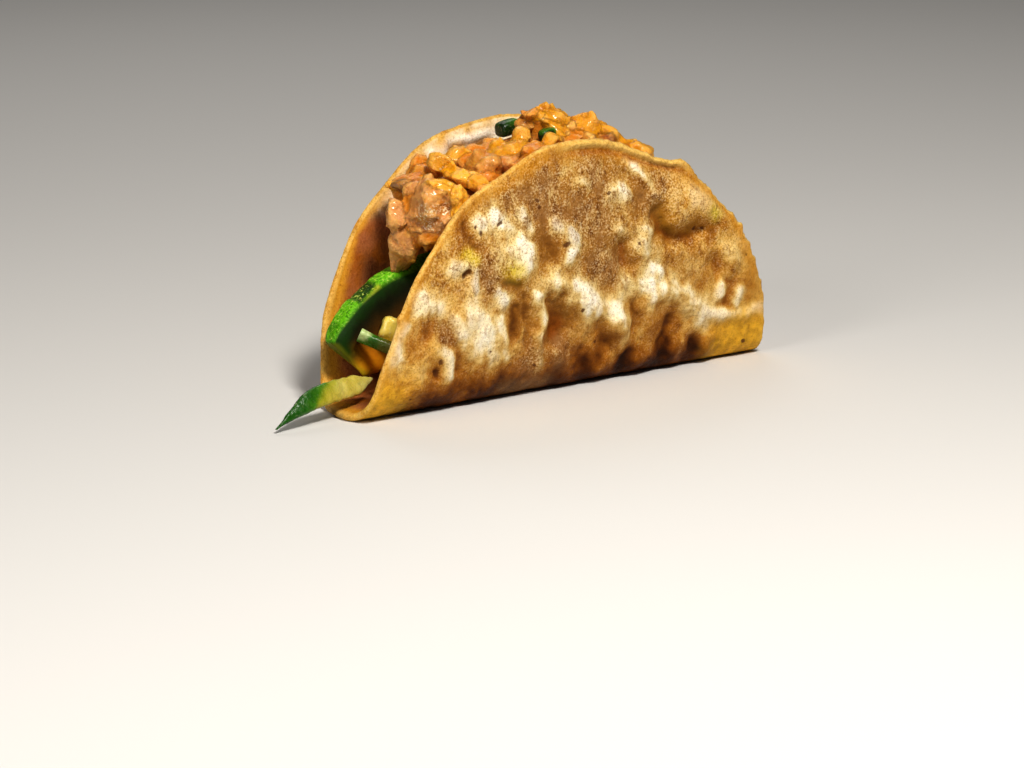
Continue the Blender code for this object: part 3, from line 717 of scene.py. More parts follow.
def makeTortilla():
    rows, columns = tortilla["cells"]
    across, along = np.meshgrid(np.linspace(-1.0, 1.0, rows + 1), np.linspace(-1.0, 1.0, columns + 1),
                                indexing="ij")
    x, rise, rimGap = flatPlace(across.ravel(), along.ravel())
    isFar = rise > 0.0
    nearHeight, farHeight = nearRelief(x, np.abs(rise), rimGap), farRelief(x, np.abs(rise), rimGap)
    height = np.where(isFar, farHeight, nearHeight)
    outer = foldUp(x, rise, -height)
    nearSide = tintNearWall(x, np.abs(rise), rimGap, nearHeight)
    farSide = tintFarWall(x, np.abs(rise), rimGap, farHeight)
    tint = np.where(isFar[:, None], farSide[0], nearSide[0])
    stipple, char = np.where(isFar, farSide[1], nearSide[1]), np.where(isFar, farSide[2], nearSide[2])
    # the inner face has half as many cells each way
    pick = (slice(None, None, 2), slice(None, None, 2))
    ix, iRise, iGap = flatPlace(across[pick].ravel(), along[pick].ravel())
    thin = (tortilla["thickness"] - tortilla["rimThickness"]) * (1.0 - smoothStep(0.0, 9.0, iGap))
    dent = np.where(iRise > 0.0, 0.0, np.maximum(-nearRelief(ix, np.abs(iRise), iGap), 0.0))
    depth = tortilla["thickness"] - thin + dent + innerRelief(ix, iRise) * smoothStep(0.0, 4.0, iGap)
    inner = foldUp(ix, iRise, depth)
    innerTint, innerStipple, innerChar = tintInside(ix, iRise, iGap)
    # rounded rim between them
    loop = borderLoop(rows, columns)
    rimAcross, rimAlong = across.ravel()[loop], along.ravel()[loop]
    bands, bandTints = [], []
    crumbs = billows(outer[loop], 1.1, 191, 3)
    for share in (0.15, 0.5, 0.85):
        ragged = 0.15 + 0.4 * smoothStep(0.0, 30.0, outer[loop][:, 0])
        push = tortilla["rimThickness"] * 0.5 * math.sin(math.pi * share) * (1.0 + ragged * crumbs)
        bx, bRise, _ = flatPlace(rimAcross, rimAlong, push)
        lip = height[loop] * (1.0 - share)
        bands.append(foldUp(bx, bRise, tortilla["rimThickness"] * share - lip))
        tone = tint[loop].copy()
        onLip = smoothStep(-4.0, 4.0, x[loop]) * (rise[loop] < 0.0)
        paint(tone, toasting["bead"], 0.55 + 0.3 * onLip + 0.5 * billows(outer[loop], 3.0, 201, 3))
        paint(tone, toasting["margin"], smoothStep(0.0, 0.6, crumbs) * 0.6)
        bandTints.append(tone)
    outer[:, 2] = np.maximum(outer[:, 2], 0.02)
    points = np.vstack((outer, *bands, inner))
    faces = gridFaces(rows, columns, 0, False)
    innerStart = len(outer) + 3 * len(loop)
    faces += gridFaces(rows // 2, columns // 2, innerStart, True)
    rings = [loop] + [list(range(len(outer) + band * len(loop), len(outer) + (band + 1) * len(loop)))
                      for band in range(3)]
    count = len(loop)
    for first, second in zip(rings, rings[1:]):
        for step in range(count):
            after = (step + 1) % count
            faces.append((first[after], first[step], second[step], second[after]))
    innerLoop = [innerStart + index for index in borderLoop(rows // 2, columns // 2)]
    last = rings[-1]
    for step in range(0, count, 2):
        here, after = innerLoop[step // 2], innerLoop[(step // 2 + 1) % len(innerLoop)]
        faces.append((last[(step + 2) % count], last[step + 1], last[step], here, after))
    mesh = buildMesh("tortilla_wrap", points, faces)
    giveTint(mesh, np.vstack((tint, *bandTints, innerTint)))
    giveAmount(mesh, "stipple", np.concatenate((stipple, np.full(3 * count, 0.3), innerStipple)))
    giveAmount(mesh, "char", np.concatenate((char, np.zeros(3 * count), innerChar)))
    addPiece("tortilla_wrap", mesh, tortillaMaterial(), "toasted_corn", "tortilla")
    innerTree = BVHTree.FromPolygons([Vector(point) for point in inner],
                                     gridFaces(rows // 2, columns // 2, 0, False))
    return innerTree


def keepInside(points, tree, room):
    # moves points that come nearer than room to the tortilla's inner face back towards the filling
    sign = 1.0 if tree.find_nearest(Vector((0.0, 0.0, tortilla["thickness"])))[1].z > 0.0 else -1.0
    for index, point in enumerate(points):
        spot = Vector(point)
        for _ in range(2):
            place, normal, _, _ = tree.find_nearest(spot)
            inside = (spot - place).dot(normal * sign)
            if inside < room:
                spot += normal * sign * (room - inside)
        points[index] = spot
    return points


innerTree = makeTortilla()
print("tortilla done")


# avocado slice: a crescent on edge with its round back up

avocado = {
    "blunt": 2.5,               # how square its two ends are
    "hollow": (36.5, 2.6, 5.4),     # half length, height and foot of the hollow edge
    "backFoot": 3.6,            # where the round back starts, above the node's underside
    "thickness": 6.6,
    "lean": 10.0,
    "stations": 170,
    "sides": 72,
    "bright": (0.15, 0.46, 0.008),
    "skin": (0.045, 0.17, 0.004),
    "edge": (0.007, 0.034, 0.001),
    "olive": (0.007, 0.008, 0.001),
    "cutFlesh": (0.12, 0.13, 0.004),
    "crack": (0.62, 0.52, 0.03),
    "brown": (0.13, 0.045, 0.002),
    "amber": (0.78, 0.28, 0.005),
    "golden": (0.50, 0.38, 0.012),
    # the lower end is cut off slanting: from this height, slope, and how far it juts
    "cut": (14.5, 0.78, 1.6),
    "dent": ((-45.0, 23.0), (-41.0, 25.8)),     # a dent on the back, painted dark green
}


def avocadoMaterial():
    material, tree = startMaterial("avocadoFlesh", specular=0.12, glow=(0.35, (1.0, 0.6, 0.15), 2.0))
    where = objectPlace(tree)
    tint, rind = attributeOf(tree, "tint", "Color"), attributeOf(tree, "rind")
    flecks = noiseOf(tree, where, 0.6, 3.0, 0.6)
    cloudy = noiseOf(tree, where, 3.0, 3.0)
    pale, dark = ramp(tree, flecks, 0.55, 0.68, 0.75), ramp(tree, flecks, 0.48, 0.34, 0.75)
    colour = layOver(tree, tint, (0.55, 0.66, 0.13), times(tree, pale, rind))
    colour = layOver(tree, colour, (0.015, 0.07, 0.003), times(tree, dark, rind))
    roughness = plus(tree, plus(tree, times(tree, cloudy, 0.2), times(tree, rind, -0.25)), 0.5)
    pebbles = times(tree, flecks, plus(tree, rind, 0.25))
    return finishMaterial(material, colour, roughness, (cloudy, 0.25), (pebbles, 0.28))


def makeAvocado():
    low, high = (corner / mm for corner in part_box("avocado_slice"))
    middleX, halfLength = (low.x + high.x) / 2.0, (high.x - low.x) / 2.0
    hollowLength, hollowHeight, foot = avocado["hollow"]
    backZ = low.z + avocado["backFoot"]
    backHeight = high.z - backZ
    slope = math.tan(math.radians(avocado["lean"]))
    middleY = (low.y + high.y) / 2.0 - slope * ((low.z + high.z) / 2.0 - low.z)
    points, facts = [], []
    stations, sides = avocado["stations"], avocado["sides"]
    for station in range(stations):
        turn = math.pi * station / (stations - 1)
        cosine, sine = math.cos(turn), max(math.sin(turn), 0.0)
        power = 2.0 / avocado["blunt"]
        backX = middleX - halfLength * squared(cosine, power)
        backTop = backZ + backHeight * sine ** power
        hollowX, hollowZ = middleX - hollowLength * cosine, foot + hollowHeight * sine
        centreX, centreZ = (backX + hollowX) / 2.0, (backTop + hollowZ) / 2.0
        deepX, deepZ = (backX - hollowX) / 2.0, (backTop - hollowZ) / 2.0
        thick = avocado["thickness"] / 2.0 * (0.45 + 0.55 * float(smoothStep(0.0, 0.5, sine)))
        for side in range(sides):
            angle = 2.0 * math.pi * (side + 0.5) / sides
            across, out = squared(math.sin(angle), 0.5), squared(math.cos(angle), 0.7)
            x, z = centreX + deepX * out, centreZ + deepZ * out
            points.append((x, middleY + (z - low.z) * slope + thick * across, z))
            facts.append((out, math.hypot(deepX, deepZ)))
    points, facts = np.array(points), np.array(facts)
    depth = (1.0 - facts[:, 0]) * facts[:, 1]       # how far below the round back a point lies
    backed = smoothStep(0.80, 0.94, facts[:, 0])    # 1 on the back itself
    wide, fine = billows(points, 6.0, 301, 3), billows(points, 1.5, 311, 3)
    cutHeight, cutSlope, jut = avocado["cut"]
    atCut = np.exp(-((points[:, 2] - cutHeight) / 4.0) ** 2)
    points[:, 0] -= jut * atCut * smoothStep(-42.0, -50.0, points[:, 0])
    behind = points[:, 1] - middleY - (points[:, 2] - low.z) * slope + avocado["thickness"] / 2.0
    slant = cutSlope + 0.07 * np.maximum(behind, 0.0)
    cutX = low.x - jut * 0.6 + np.maximum(cutHeight - points[:, 2], 0.0) * slant
    cut = (1.0 - smoothStep(0.0, 1.6, points[:, 0] - cutX)) * (points[:, 2] < cutHeight)
    points[:, 0] = np.maximum(points[:, 0], cutX)
    x, z = points[:, 0], points[:, 2]
    dent = markCover(x, z, "dent", 0.9, avocado["dent"]) * backed
    crack = markCover(x - 1.0, z + 0.9, "crack", 0.5, avocado["dent"]) * backed
    # the cut face: the flesh's gradient painted dark, orange-brown and near-black olive, as painted shade
    # with warm bounce light
    tint = startTint(points, avocado["brown"])
    paint(tint, avocado["olive"], 1.0 - smoothStep(4.0, 11.0, depth + 2.0 * wide))
    # painted light: the lower part of the cut face bright amber
    paint(tint, avocado["amber"], 1.0 - smoothStep(8.0, 15.5, z + 1.2 * wide))
    nearCut = 1.0 - smoothStep(0.5, 4.0, x - cutX)
    paint(tint, avocado["golden"], smoothStep(12.0, 8.0, z + wide) * nearCut * 0.7)
    paint(tint, avocado["edge"], smoothStep(8.5, 12.5, z) * (1.0 - smoothStep(1.0, 5.0, x - cutX)))
    paint(tint, avocado["edge"], (1.0 - smoothStep(1.4, 4.6, depth + 0.8 * fine)) * smoothStep(9.0, 14.0, z))
    paint(tint, avocado["bright"], backed)
    paint(tint, avocado["skin"], backed * smoothStep(0.0, 0.5, wide + 0.5 * fine) * 0.75)
    paint(tint, avocado["cutFlesh"], cut * smoothStep(6.0, 13.0, z))
    paint(tint, avocado["golden"], cut * (1.0 - smoothStep(6.0, 10.0, z)))
    # the dent painted darker green
    paint(tint, avocado["edge"], dent)
    paint(tint, avocado["crack"], crack * 0.9)
    mesh = buildMesh("avocado_crescent", points, loftFaces(stations, sides))
    pits = 0.5 * backed * smoothStep(0.3, 0.7, billows(points, 5.0, 321, 2))
    points = points + meshNormals(mesh) * (wide * 0.25 + fine * 0.15 * backed - 0.7 * dent - pits)[:, None]
    setPoints(mesh, keepInside(points, innerTree, 0.25))
    giveTint(mesh, tint)
    giveAmount(mesh, "rind", backed * (1.0 - cut))
    addPiece("avocado_crescent", mesh, avocadoMaterial(), "avocado_flesh", "avocado_slice")
    return BVHTree.FromPolygons([Vector(point) for point in points], loftFaces(stations, sides))


avocadoTree = makeAvocado()
print("avocado done")


# filling: chunks of fish coated in orange cream, over a smaller core

filling = {
    "coreGap": 1.6,             # the core lies this far under the solid's skin
    "grain": 0.5,               # voxel size of the joined chunks
    "planes": 18,               # soft planes that cut each chunk
    "pink": (0.60, 0.28, 0.085),
    "yellow": (0.86, 0.42, 0.006),
    "gold": (0.70, 0.32, 0.008),
    "orange": (0.60, 0.20, 0.006),
    "brown": (0.54, 0.23, 0.045),
    "cream": (0.86, 0.54, 0.16),
    "shade": (0.20, 0.045, 0.003),
    # pale speckle that stands for painted glints, and for froth
    "speckleAndGlint": (0.93, 0.78, 0.52),
    # chunks: middle, half sizes, turn about Z, tilt, colour
    "chunks": (
        (-35.6, 6.4, 39.8, 2.7, 2.8, 3.4, 0, 0, "pink"),
        (-30.4, 0.2, 41.6, 5.4, 4.6, 5.4, 20, 0, "pink"),
        (-29.6, -1.2, 44.0, 3.6, 3.0, 3.2, 0, 20, "pink"),
        (-33.0, 4.2, 40.4, 2.3, 2.4, 5.2, 0, 0, "orange"),
        (-29.0, -2.0, 46.6, 3.6, 2.6, 1.7, -30, 18, "yellow"),
        (-27.4, -4.2, 44.8, 2.2, 2.6, 2.7, 0, 0, "yellow"),
        (-27.6, -5.8, 41.0, 2.1, 2.4, 2.8, 0, 6, "yellow"),
        (-29.0, 3.8, 47.2, 1.5, 1.4, 1.4, 0, 0, "gold"),
        (-31.4, 4.8, 45.0, 3.0, 2.6, 2.0, 0, 0, "pink"),
        (-34.2, 5.6, 34.2, 2.7, 2.6, 4.8, 0, 0, "pink"),
        (-32.8, 4.0, 34.4, 1.5, 1.7, 5.0, 0, 4, "gold"),
        (-30.4, 0.6, 36.4, 3.6, 3.6, 3.6, 0, 0, "orange"),
        (-28.4, -4.2, 36.2, 3.0, 3.2, 4.0, 0, 0, "brown"),
        (-30.5, 10.0, 45.4, 4.2, 2.2, 1.5, 60, 14, "shade"),
        (-31.0, 13.8, 45.0, 1.6, 1.3, 1.1, 0, 0, "gold"),
        (-27.0, 8.0, 43.6, 4.0, 4.0, 3.2, 0, 0, "orange"),
        (-26.0, 14.0, 43.6, 4.2, 3.0, 3.2, 20, 0, "orange"),
        (-19.4, 19.4, 47.4, 2.8, 1.6, 3.2, 0, 0, "orange"),
        (-20.4, 16.0, 45.4, 3.6, 3.0, 2.6, 20, 0, "orange"),
        (-20.4, 9.8, 49.2, 3.2, 2.4, 2.0, -50, 10, "gold"),
        (-20.2, 6.4, 48.0, 3.2, 2.3, 1.7, -80, 20, "yellow"),
        (-20.0, 3.2, 46.9, 3.0, 2.3, 1.6, -80, 18, "yellow"),
        (-18.4, 1.6, 46.8, 1.6, 1.5, 1.5, -60, 0, "yellow"),
        (-18.8, -1.0, 45.8, 2.8, 1.9, 1.6, -60, 10, "gold"),
        (-13.8, 13.0, 49.2, 3.8, 2.6, 2.3, 15, 0, "gold"),
        (-13.4, 9.8, 48.2, 2.6, 2.2, 2.1, 15, 0, "orange"),
        (-12.2, 5.6, 47.8, 4.6, 3.8, 3.5, 60, 15, "brown"),
        (-14.4, 1.8, 45.6, 2.8, 2.6, 2.2, 0, 0, "orange"),
        (-4.6, 6.8, 49.4, 4.8, 4.4, 3.9, 60, 10, "gold"),
        (-8.0, 2.6, 48.8, 2.2, 2.2, 2.2, 25, 10, "pink"),
        (-6.6, 15.0, 49.2, 3.6, 2.6, 2.2, -10, 0, "orange"),
        (-1.0, 16.4, 50.2, 3.0, 2.6, 2.0, 0, 0, "orange"),
        (-2.4, 1.0, 50.0, 3.4, 2.2, 2.1, 0, 10, "orange"),
        (1.6, 5.0, 51.2, 2.2, 2.0, 1.7, 30, 0, "orange"),
        (-1.6, 7.4, 51.0, 2.3, 2.0, 2.1, 0, 0, "gold"),
        (1.4, 10.2, 52.4, 2.0, 2.0, 2.2, 0, 30, "gold"),
        (5.8, 5.2, 51.6, 3.2, 1.8, 1.4, 15, 0, "gold"),
        (2.0, 14.0, 50.4, 3.6, 2.6, 1.9, 0, 0, "shade"),
        (6.8, 14.2, 54.0, 3.4, 2.6, 2.1, -10, 0, "brown"),
        (10.0, 9.6, 53.6, 4.8, 2.2, 1.7, -36, 30, "gold"),
        # painted highlight: a small cream chunk at the slab's end
        (12.6, 7.4, 51.8, 1.7, 1.6, 1.2, -36, 30, "cream"),
        (15.0, 10.4, 53.0, 2.8, 2.4, 2.1, 0, 0, "cream"),
        (14.4, 6.4, 51.2, 3.2, 2.4, 2.1, 10, 0, "orange"),
        # painted highlight: a small cream chunk at the lump's end
        (16.6, 5.8, 51.2, 1.5, 1.5, 1.5, 0, 0, "cream"),
        (11.0, 12.2, 55.8, 4.3, 3.2, 3.1, -20, 22, "gold"),
        (9.6, 12.2, 57.8, 2.4, 2.0, 1.7, 10, 10, "gold"),
        (13.6, 11.4, 55.0, 2.3, 2.2, 2.4, 30, 40, "gold"),
        (6.6, 12.8, 57.0, 2.4, 1.8, 1.5, 15, 12, "orange"),
        (5.0, 13.4, 57.4, 1.2, 1.0, 0.8, 15, 0, "orange"),
        (7.6, 10.8, 56.4, 1.0, 1.0, 1.4, 0, 0, "gold"),
        (19.2, 9.4, 52.8, 3.9, 3.3, 3.2, 10, 15, "gold"),
        (19.4, 9.2, 54.8, 2.2, 1.8, 1.5, 10, 15, "gold"),
        (18.0, 9.6, 52.6, 2.2, 2.4, 3.0, 0, 0, "orange"),
        (23.2, 7.6, 51.4, 4.4, 2.3, 2.0, -32, 32, "gold"),
        (27.8, 6.8, 49.2, 3.6, 2.0, 1.2, -10, 6, "gold"),
        (30.8, 6.6, 49.4, 1.3, 1.1, 0.8, 20, 0, "gold"),
        (30.4, 6.8, 48.3, 1.2, 1.1, 0.8, -20, 0, "gold"),
        (21.0, 6.2, 49.2, 3.0, 2.8, 2.6, 0, 0, "shade"),
        (25.4, 8.2, 47.2, 4.0, 4.0, 2.8, 0, 0, "orange"),
        (10.0, 16.2, 51.4, 4.0, 2.8, 2.6, 0, 0, "pink"),
        (18.0, 14.2, 50.4, 4.0, 3.6, 3.0, 30, 0, "gold"),
        (26.0, 12.4, 47.0, 4.0, 3.8, 3.0, 0, 0, "pink"),
        (33.0, 8.0, 44.2, 4.4, 4.8, 3.8, 0, 20, "gold"),
        (33.4, 13.0, 41.6, 3.8, 3.8, 3.6, 0, 20, "orange"),
        (38.4, 8.0, 39.0, 4.2, 5.0, 4.4, 20, 30, "orange"),
        (41.6, 6.6, 32.4, 3.4, 4.6, 4.8, 0, 20, "pink"),
        (43.0, 5.0, 24.6, 2.8, 4.6, 4.6, 0, 0, "gold"),
        (42.6, 3.6, 16.6, 2.8, 4.8, 4.6, 0, 0, "orange"),
        (41.4, 2.2, 10.0, 3.0, 3.6, 3.8, 0, 0, "pink"),
    ),
    "hanging": 30.0,            # the lump at the open end reaches down to about here
    "creamRounds": 30,          # how far the cream fills the creases
    # along X, the Y behind which the top's chunks are placed one by one
    "placedBehind": ((-34.0, -20.0, -2.0, 10.0, 24.0), (-8.5, -4.5, 0.5, 3.0, 3.5)),
    "frothAndGlints": (-2.4, 41.0, 3.0, 3.6, -27.0),     # its middle's Y and Z, reach in Y and Z, and the X it ends at
    "strayTries": 1000,         # smaller chunks that fill the gaps between them
    "strayReach": (2.0, 3.3),
    # loose flakes on each colour of chunk, for each millimetre of its size
    "flakes": {"pink": 0.7, "yellow": 0.9, "gold": 0.9, "orange": 0.9, "brown": 0.8, "cream": 0.7,
               "shade": 0.8},
}


def turned(turn, tilt):
    return np.array(Matrix.Rotation(math.radians(turn), 3, "Z") @ Matrix.Rotation(math.radians(tilt), 3, "Y"))


def chunkPoints(ball, middle, halfSize, spin, seed, rough=0.42):
    # a broken lump: an oval cut by soft planes, with furrows along its length
    chance = np.random.default_rng(500 + seed)
    planes = chance.normal(size=(filling["planes"], 3))
    planes /= np.linalg.norm(planes, axis=1)[:, None]
    reach = np.maximum(ball @ planes.T, 0.0) / chance.uniform(0.84, 1.16, filling["planes"])
    radius = np.minimum((reach ** 6.0).sum(1) ** (-1.0 / 6.0), 1.1)
    furrows = np.minimum(np.abs(billows(ball * (0.7, 2.6, 2.6) + seed * 3.1, 1.0, 400 + seed % 40, 2)), 0.4)
    lumps = billows(ball * 2.1 + seed * 3.1, 1.0, 440 + seed % 40, 3)
    points = ball * (radius * (1.06 + rough * lumps) - 0.14 * (0.4 - furrows))[:, None]
    return (points * np.array(halfSize)) @ spin.T + np.array(middle)


def fillingMaterial():
    material, tree = startMaterial("fishInCream", specular=0.25, coat=(0.3, 0.1),
                                   glow=(0.22, (1.4, 0.6, 0.15), 1.6))
    where = objectPlace(tree)
    tint, frothAndGlints = attributeOf(tree, "tint", "Color"), attributeOf(tree, "frothAndGlints")
    along = addNode(tree, "ShaderNodeMapping", {"Vector": attributeOf(tree, "along", "Vector"),
                                                "Scale": (0.22, 1.0, 1.0)}).outputs["Vector"]
    fine = noiseOf(tree, where, 0.5, 3.0, 0.6)
    fibre = noiseOf(tree, along, 1.1, 3.0, 0.55)
    cloudy = noiseOf(tree, where, 2.2, 3.0, 0.55)
    colour = layOver(tree, tint, filling["orange"], times(tree, ramp(tree, cloudy, 0.5, 0.68), 0.45))
    colour = layOver(tree, colour, filling["cream"], times(tree, ramp(tree, cloudy, 0.44, 0.28), 0.2))
    colour = layOver(tree, colour, (0.20, 0.05, 0.004), times(tree, ramp(tree, fibre, 0.54, 0.7), 0.35))
    colour = layOver(tree, colour, filling["cream"], times(tree, ramp(tree, fibre, 0.42, 0.3), 0.3))
    # painted glints: fine pale speckle over the whole heap
    colour = layOver(tree, colour, filling["speckleAndGlint"], times(tree, ramp(tree, fine, 0.64, 0.74), 0.14))
    # froth with painted glints in it
    bubblesAndGlints = times(tree, ramp(tree, fine, 0.5, 0.62), frothAndGlints)
    colour = layOver(tree, colour, filling["speckleAndGlint"], bubblesAndGlints)
    roughness = plus(tree, times(tree, cloudy, 0.3), 0.22)
    return finishMaterial(material, colour, roughness, (cloudy, 0.4), (fibre, -0.35), (fine, 0.25))


def neighbourMean(mesh, values):
    edges = np.zeros(len(mesh.edges) * 2, int)
    mesh.edges.foreach_get("vertices", edges)
    a, b = edges.reshape(-1, 2).T
    total, count = np.zeros_like(values), np.zeros(len(values))
    np.add.at(total, a, values[b])
    np.add.at(total, b, values[a])
    np.add.at(count, a, 1)
    np.add.at(count, b, 1)
    return total / count.reshape(-1, *([1] * (values.ndim - 1)))


def evaluated(mesh, *settings):
    # the mesh that a row of modifiers makes of another one
    holder = linkObject("shaping", mesh)
    for kind, values in settings:
        modifier = holder.modifiers.new(kind, kind)
        for key, value in values.items():
            setattr(modifier, key, value)
    bpy.context.view_layer.update()
    result = bpy.data.meshes.new_from_object(holder.evaluated_get(bpy.context.evaluated_depsgraph_get()))
    bpy.data.objects.remove(holder)
    return result


def meshOf(name, parts):
    points, faces, start = [], [], 0
    for partPoints, partFaces in parts:
        points.append(partPoints)
        faces += [tuple(start + index for index in face) for face in partFaces]
        start += len(partPoints)
    mesh = bpy.data.meshes.new(name)
    mesh.from_pydata((np.vstack(points) * mm).tolist(), [], faces)
    return mesh


def unitBall(subdivisions):
    ball = bmesh.new()
    bmesh.ops.create_icosphere(ball, subdivisions=subdivisions, radius=1.0)
    points = np.array([vertex.co for vertex in ball.verts])
    faces = [tuple(vertex.index for vertex in face.verts) for face in ball.faces]
    ball.free()
    return points, faces


def howDeep(points, chunk):
    # 0 at a chunk's middle, 1 on its outside
    middle, halfSize, spin, _ = chunk
    return np.linalg.norm(((points - middle) @ spin) / halfSize, axis=-1)


def listChunks(skin, heapTree):
    chunks = []
    for x, y, z, a, b, c, turn, tilt, colour in filling["chunks"]:
        chunks.append((np.array((x, y, z)), np.array((a, b, c)), turned(turn, tilt), colour))
    chance = np.random.default_rng(12)
    colours = ("gold", "orange", "yellow", "brown", "gold")
    for _ in range(filling["strayTries"]):
        place, normal, _, _ = heapTree.find_nearest(Vector(skin[chance.integers(len(skin))]))
        size = chance.uniform(*filling["strayReach"])
        low = place.z < 26.0 and abs(normal.x) < 0.6
        edge = np.interp(place.x, *filling["placedBehind"])
        placed = place.x < -30.0 or place.y > edge and (place.x < -24.0 or place.x < 20.0 and place.y < 12.0)
        placed = placed or (place.z > 49.5 and place.y > edge)
        if low or placed or normal.z < -0.3:
            continue
        if min(howDeep(np.array(place), chunk) for chunk in chunks) < 1.12:
            continue
        chunks.append((np.array(place - normal * size * 0.7), size * np.array((1.3, 1.0, 0.85)),
                       turned(chance.uniform(0, 180), chance.uniform(-25, 25)), colours[chance.integers(5)]))
    return chunks


def looseFlakes(chunks):
    # small flat flakes that lie over the outside of each chunk
    chance = np.random.default_rng(33)
    flakes = []
    for middle, halfSize, spin, colour in chunks:
        mean = halfSize.mean()
        for _ in range(int(filling["flakes"][colour] * mean * (1.2 if middle[0] > 0.0 else 0.8))):
            way = chance.normal(size=3)
            way /= np.linalg.norm(way)
            way[2] = abs(way[2]) if way[2] < -0.2 else way[2]
            place = middle + spin @ (way * halfSize * 0.78)
            if place[0] < -28.0 and place[2] < 33.0:
                continue
            size = mean * chance.uniform(0.7, 1.3) * np.array((0.56, 0.44, 0.22))
            turn = turned(chance.uniform(0, 180), chance.uniform(-50, 50))
            flakes.append((place, np.maximum(size, 0.35), turn))
    return flakes


def makeCore(skin, faces):
    mesh = evaluated(meshOf("coreParts", [(skin, faces)]),
                     ("REMESH", {"mode": "VOXEL", "voxel_size": 0.9 * mm, "adaptivity": 0.0}))
    mesh.name = "fish_core"
    for _ in range(4):
        points = meshPoints(mesh) - meshNormals(mesh) * filling["coreGap"] / 4.0
        setPoints(mesh, 0.6 * points + 0.4 * neighbourMean(mesh, points))
    points = meshPoints(mesh)
    bumps = np.abs(billows(points, 4.0, 541, 3)) * 1.1 - 0.3
    moved = points + meshNormals(mesh) * bumps[:, None]
    moved[:, 0] += 4.5 * smoothStep(-24.0, -36.0, points[:, 0])
    setPoints(mesh, keepInside(moved, innerTree, 0.4))
    tint = startTint(points, filling["orange"])
    paint(tint, filling["pink"], smoothStep(0.0, 0.6, billows(points, 5.0, 551, 2)) * 0.7)
    paint(tint, filling["shade"], smoothStep(0.1, -0.3, bumps))
    mesh.shade_smooth()
    giveTint(mesh, tint)
    return mesh


def makeFilling():
    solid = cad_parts["filling"].data
    skin = meshPoints(solid)
    skinFaces = [tuple(face.vertices) for face in solid.polygons]
    heapTree = BVHTree.FromPolygons([Vector(point) for point in skin], skinFaces)
    material = fillingMaterial()
    addPiece("fish_core", makeCore(skin, skinFaces), material, "fish_in_cream", "filling")
    chunks = listChunks(skin, heapTree)
    bigBall, smallBall = unitBall(4), unitBall(3)
    parts = [(chunkPoints(bigBall[0], middle, halfSize, spin, number), bigBall[1])
             for number, (middle, halfSize, spin, _) in enumerate(chunks)]
    parts += [(chunkPoints(smallBall[0], middle, halfSize, spin, number, 0.4), smallBall[1])
              for number, (middle, halfSize, spin) in enumerate(looseFlakes(chunks))]
    mesh = evaluated(meshOf("heapParts", parts),
                     ("REMESH", {"mode": "VOXEL", "voxel_size": filling["grain"] * mm, "adaptivity": 0.0}),
                     ("SMOOTH", {"factor": 0.5, "iterations": 4}))
    mesh.name = "fish_heap"
    points, normals = meshPoints(mesh), meshNormals(mesh)
    for _ in range(filling["creamRounds"]):
        hollow = ((neighbourMean(mesh, points) - points) * normals).sum(1)
        points += normals * np.maximum(hollow, 0.0)[:, None]
    points += np.stack([billows(points, 4.2, seed, 3) for seed in (561, 571, 581)], 1) * 1.1
    creased = np.abs(billows(points, 3.6, 501, 2)) * 0.5 + billows(points, 1.4, 511, 2) * 0.16 - 0.15
    points += normals * creased[:, None]
    hanging = filling["hanging"] - points[:, 2]
    points[:, 2] += 0.7 * np.maximum(hanging, 0.0) * (points[:, 0] < -29.0)
    for index, point in enumerate(points):
        place, normal, _, _ = avocadoTree.find_nearest(Vector(point), 4.0)
        if place is not None and (Vector(point) - place).dot(normal) < 0.0:
            points[index] = place + normal * 0.2
    setPoints(mesh, keepInside(points, innerTree, 0.25))
    # how far each point stands out of its surroundings, finely and broadly
    normals = meshNormals(mesh)
    smooth, proud = points.copy(), []
    for rounds in (4, 18):
        for _ in range(rounds):
            smooth = neighbourMean(mesh, smooth)
        proud.append(((points - smooth) * normals).sum(1))
    nearest, kind = np.full(len(points), 1e9), np.zeros(len(points), int)
    along = np.zeros_like(points)
    for number, chunk in enumerate(chunks):
        reach = howDeep(points, chunk)
        closer = reach < nearest
        kind[closer], nearest[closer] = number, reach[closer]
        along[closer] = ((points - chunk[0]) @ chunk[2])[closer] + number * 7.0
    tint = np.array([filling[chunk[3]] for chunk in chunks])[kind]
    for _ in range(3):
        tint = 0.5 * tint + 0.5 * neighbourMean(mesh, tint)
    wide, fine = billows(points, 3.4, 521, 3), billows(points, 1.0, 531, 3)
    paint(tint, filling["gold"], smoothStep(0.1, 0.7, wide) * 0.5)
    # painted highlight: cream where a point stands out broadly
    paint(tint, filling["cream"], smoothStep(0.12, 0.5, proud[1] + 0.15 * fine) * 0.3)
    paint(tint, filling["orange"], smoothStep(0.0, 0.12, -proud[0]) * 0.35)
    paint(tint, filling["shade"], smoothStep(0.15, 0.8, -proud[1] + 0.06 * fine) * 0.7)
    mesh.shade_smooth()
    giveTint(mesh, tint)
    layer = mesh.attributes.new("along", "FLOAT_VECTOR", "POINT")
    layer.data.foreach_set("vector", (along * mm).astype(np.float32).ravel())
    # where the froth and its painted glints lie
    frothY, frothZ, reachY, reachZ, frothEnd = filling["frothAndGlints"]
    frothAndGlints = np.exp(-((points[:, 1] - frothY) / reachY) ** 2 - ((points[:, 2] - frothZ) / reachZ) ** 2)
    frothAndGlints = frothAndGlints * (points[:, 0] < frothEnd)
    frothAndGlints = frothAndGlints + 0.35 * wide * (frothAndGlints > 0.1) + 0.3 * fine * (frothAndGlints > 0.1)
    giveAmount(mesh, "frothAndGlints", smoothStep(0.3, 0.8, frothAndGlints))
    addPiece("fish_heap", mesh, material, "fish_in_cream", "filling")


makeFilling()
print("filling done")


# green chilli: two strips and two ends

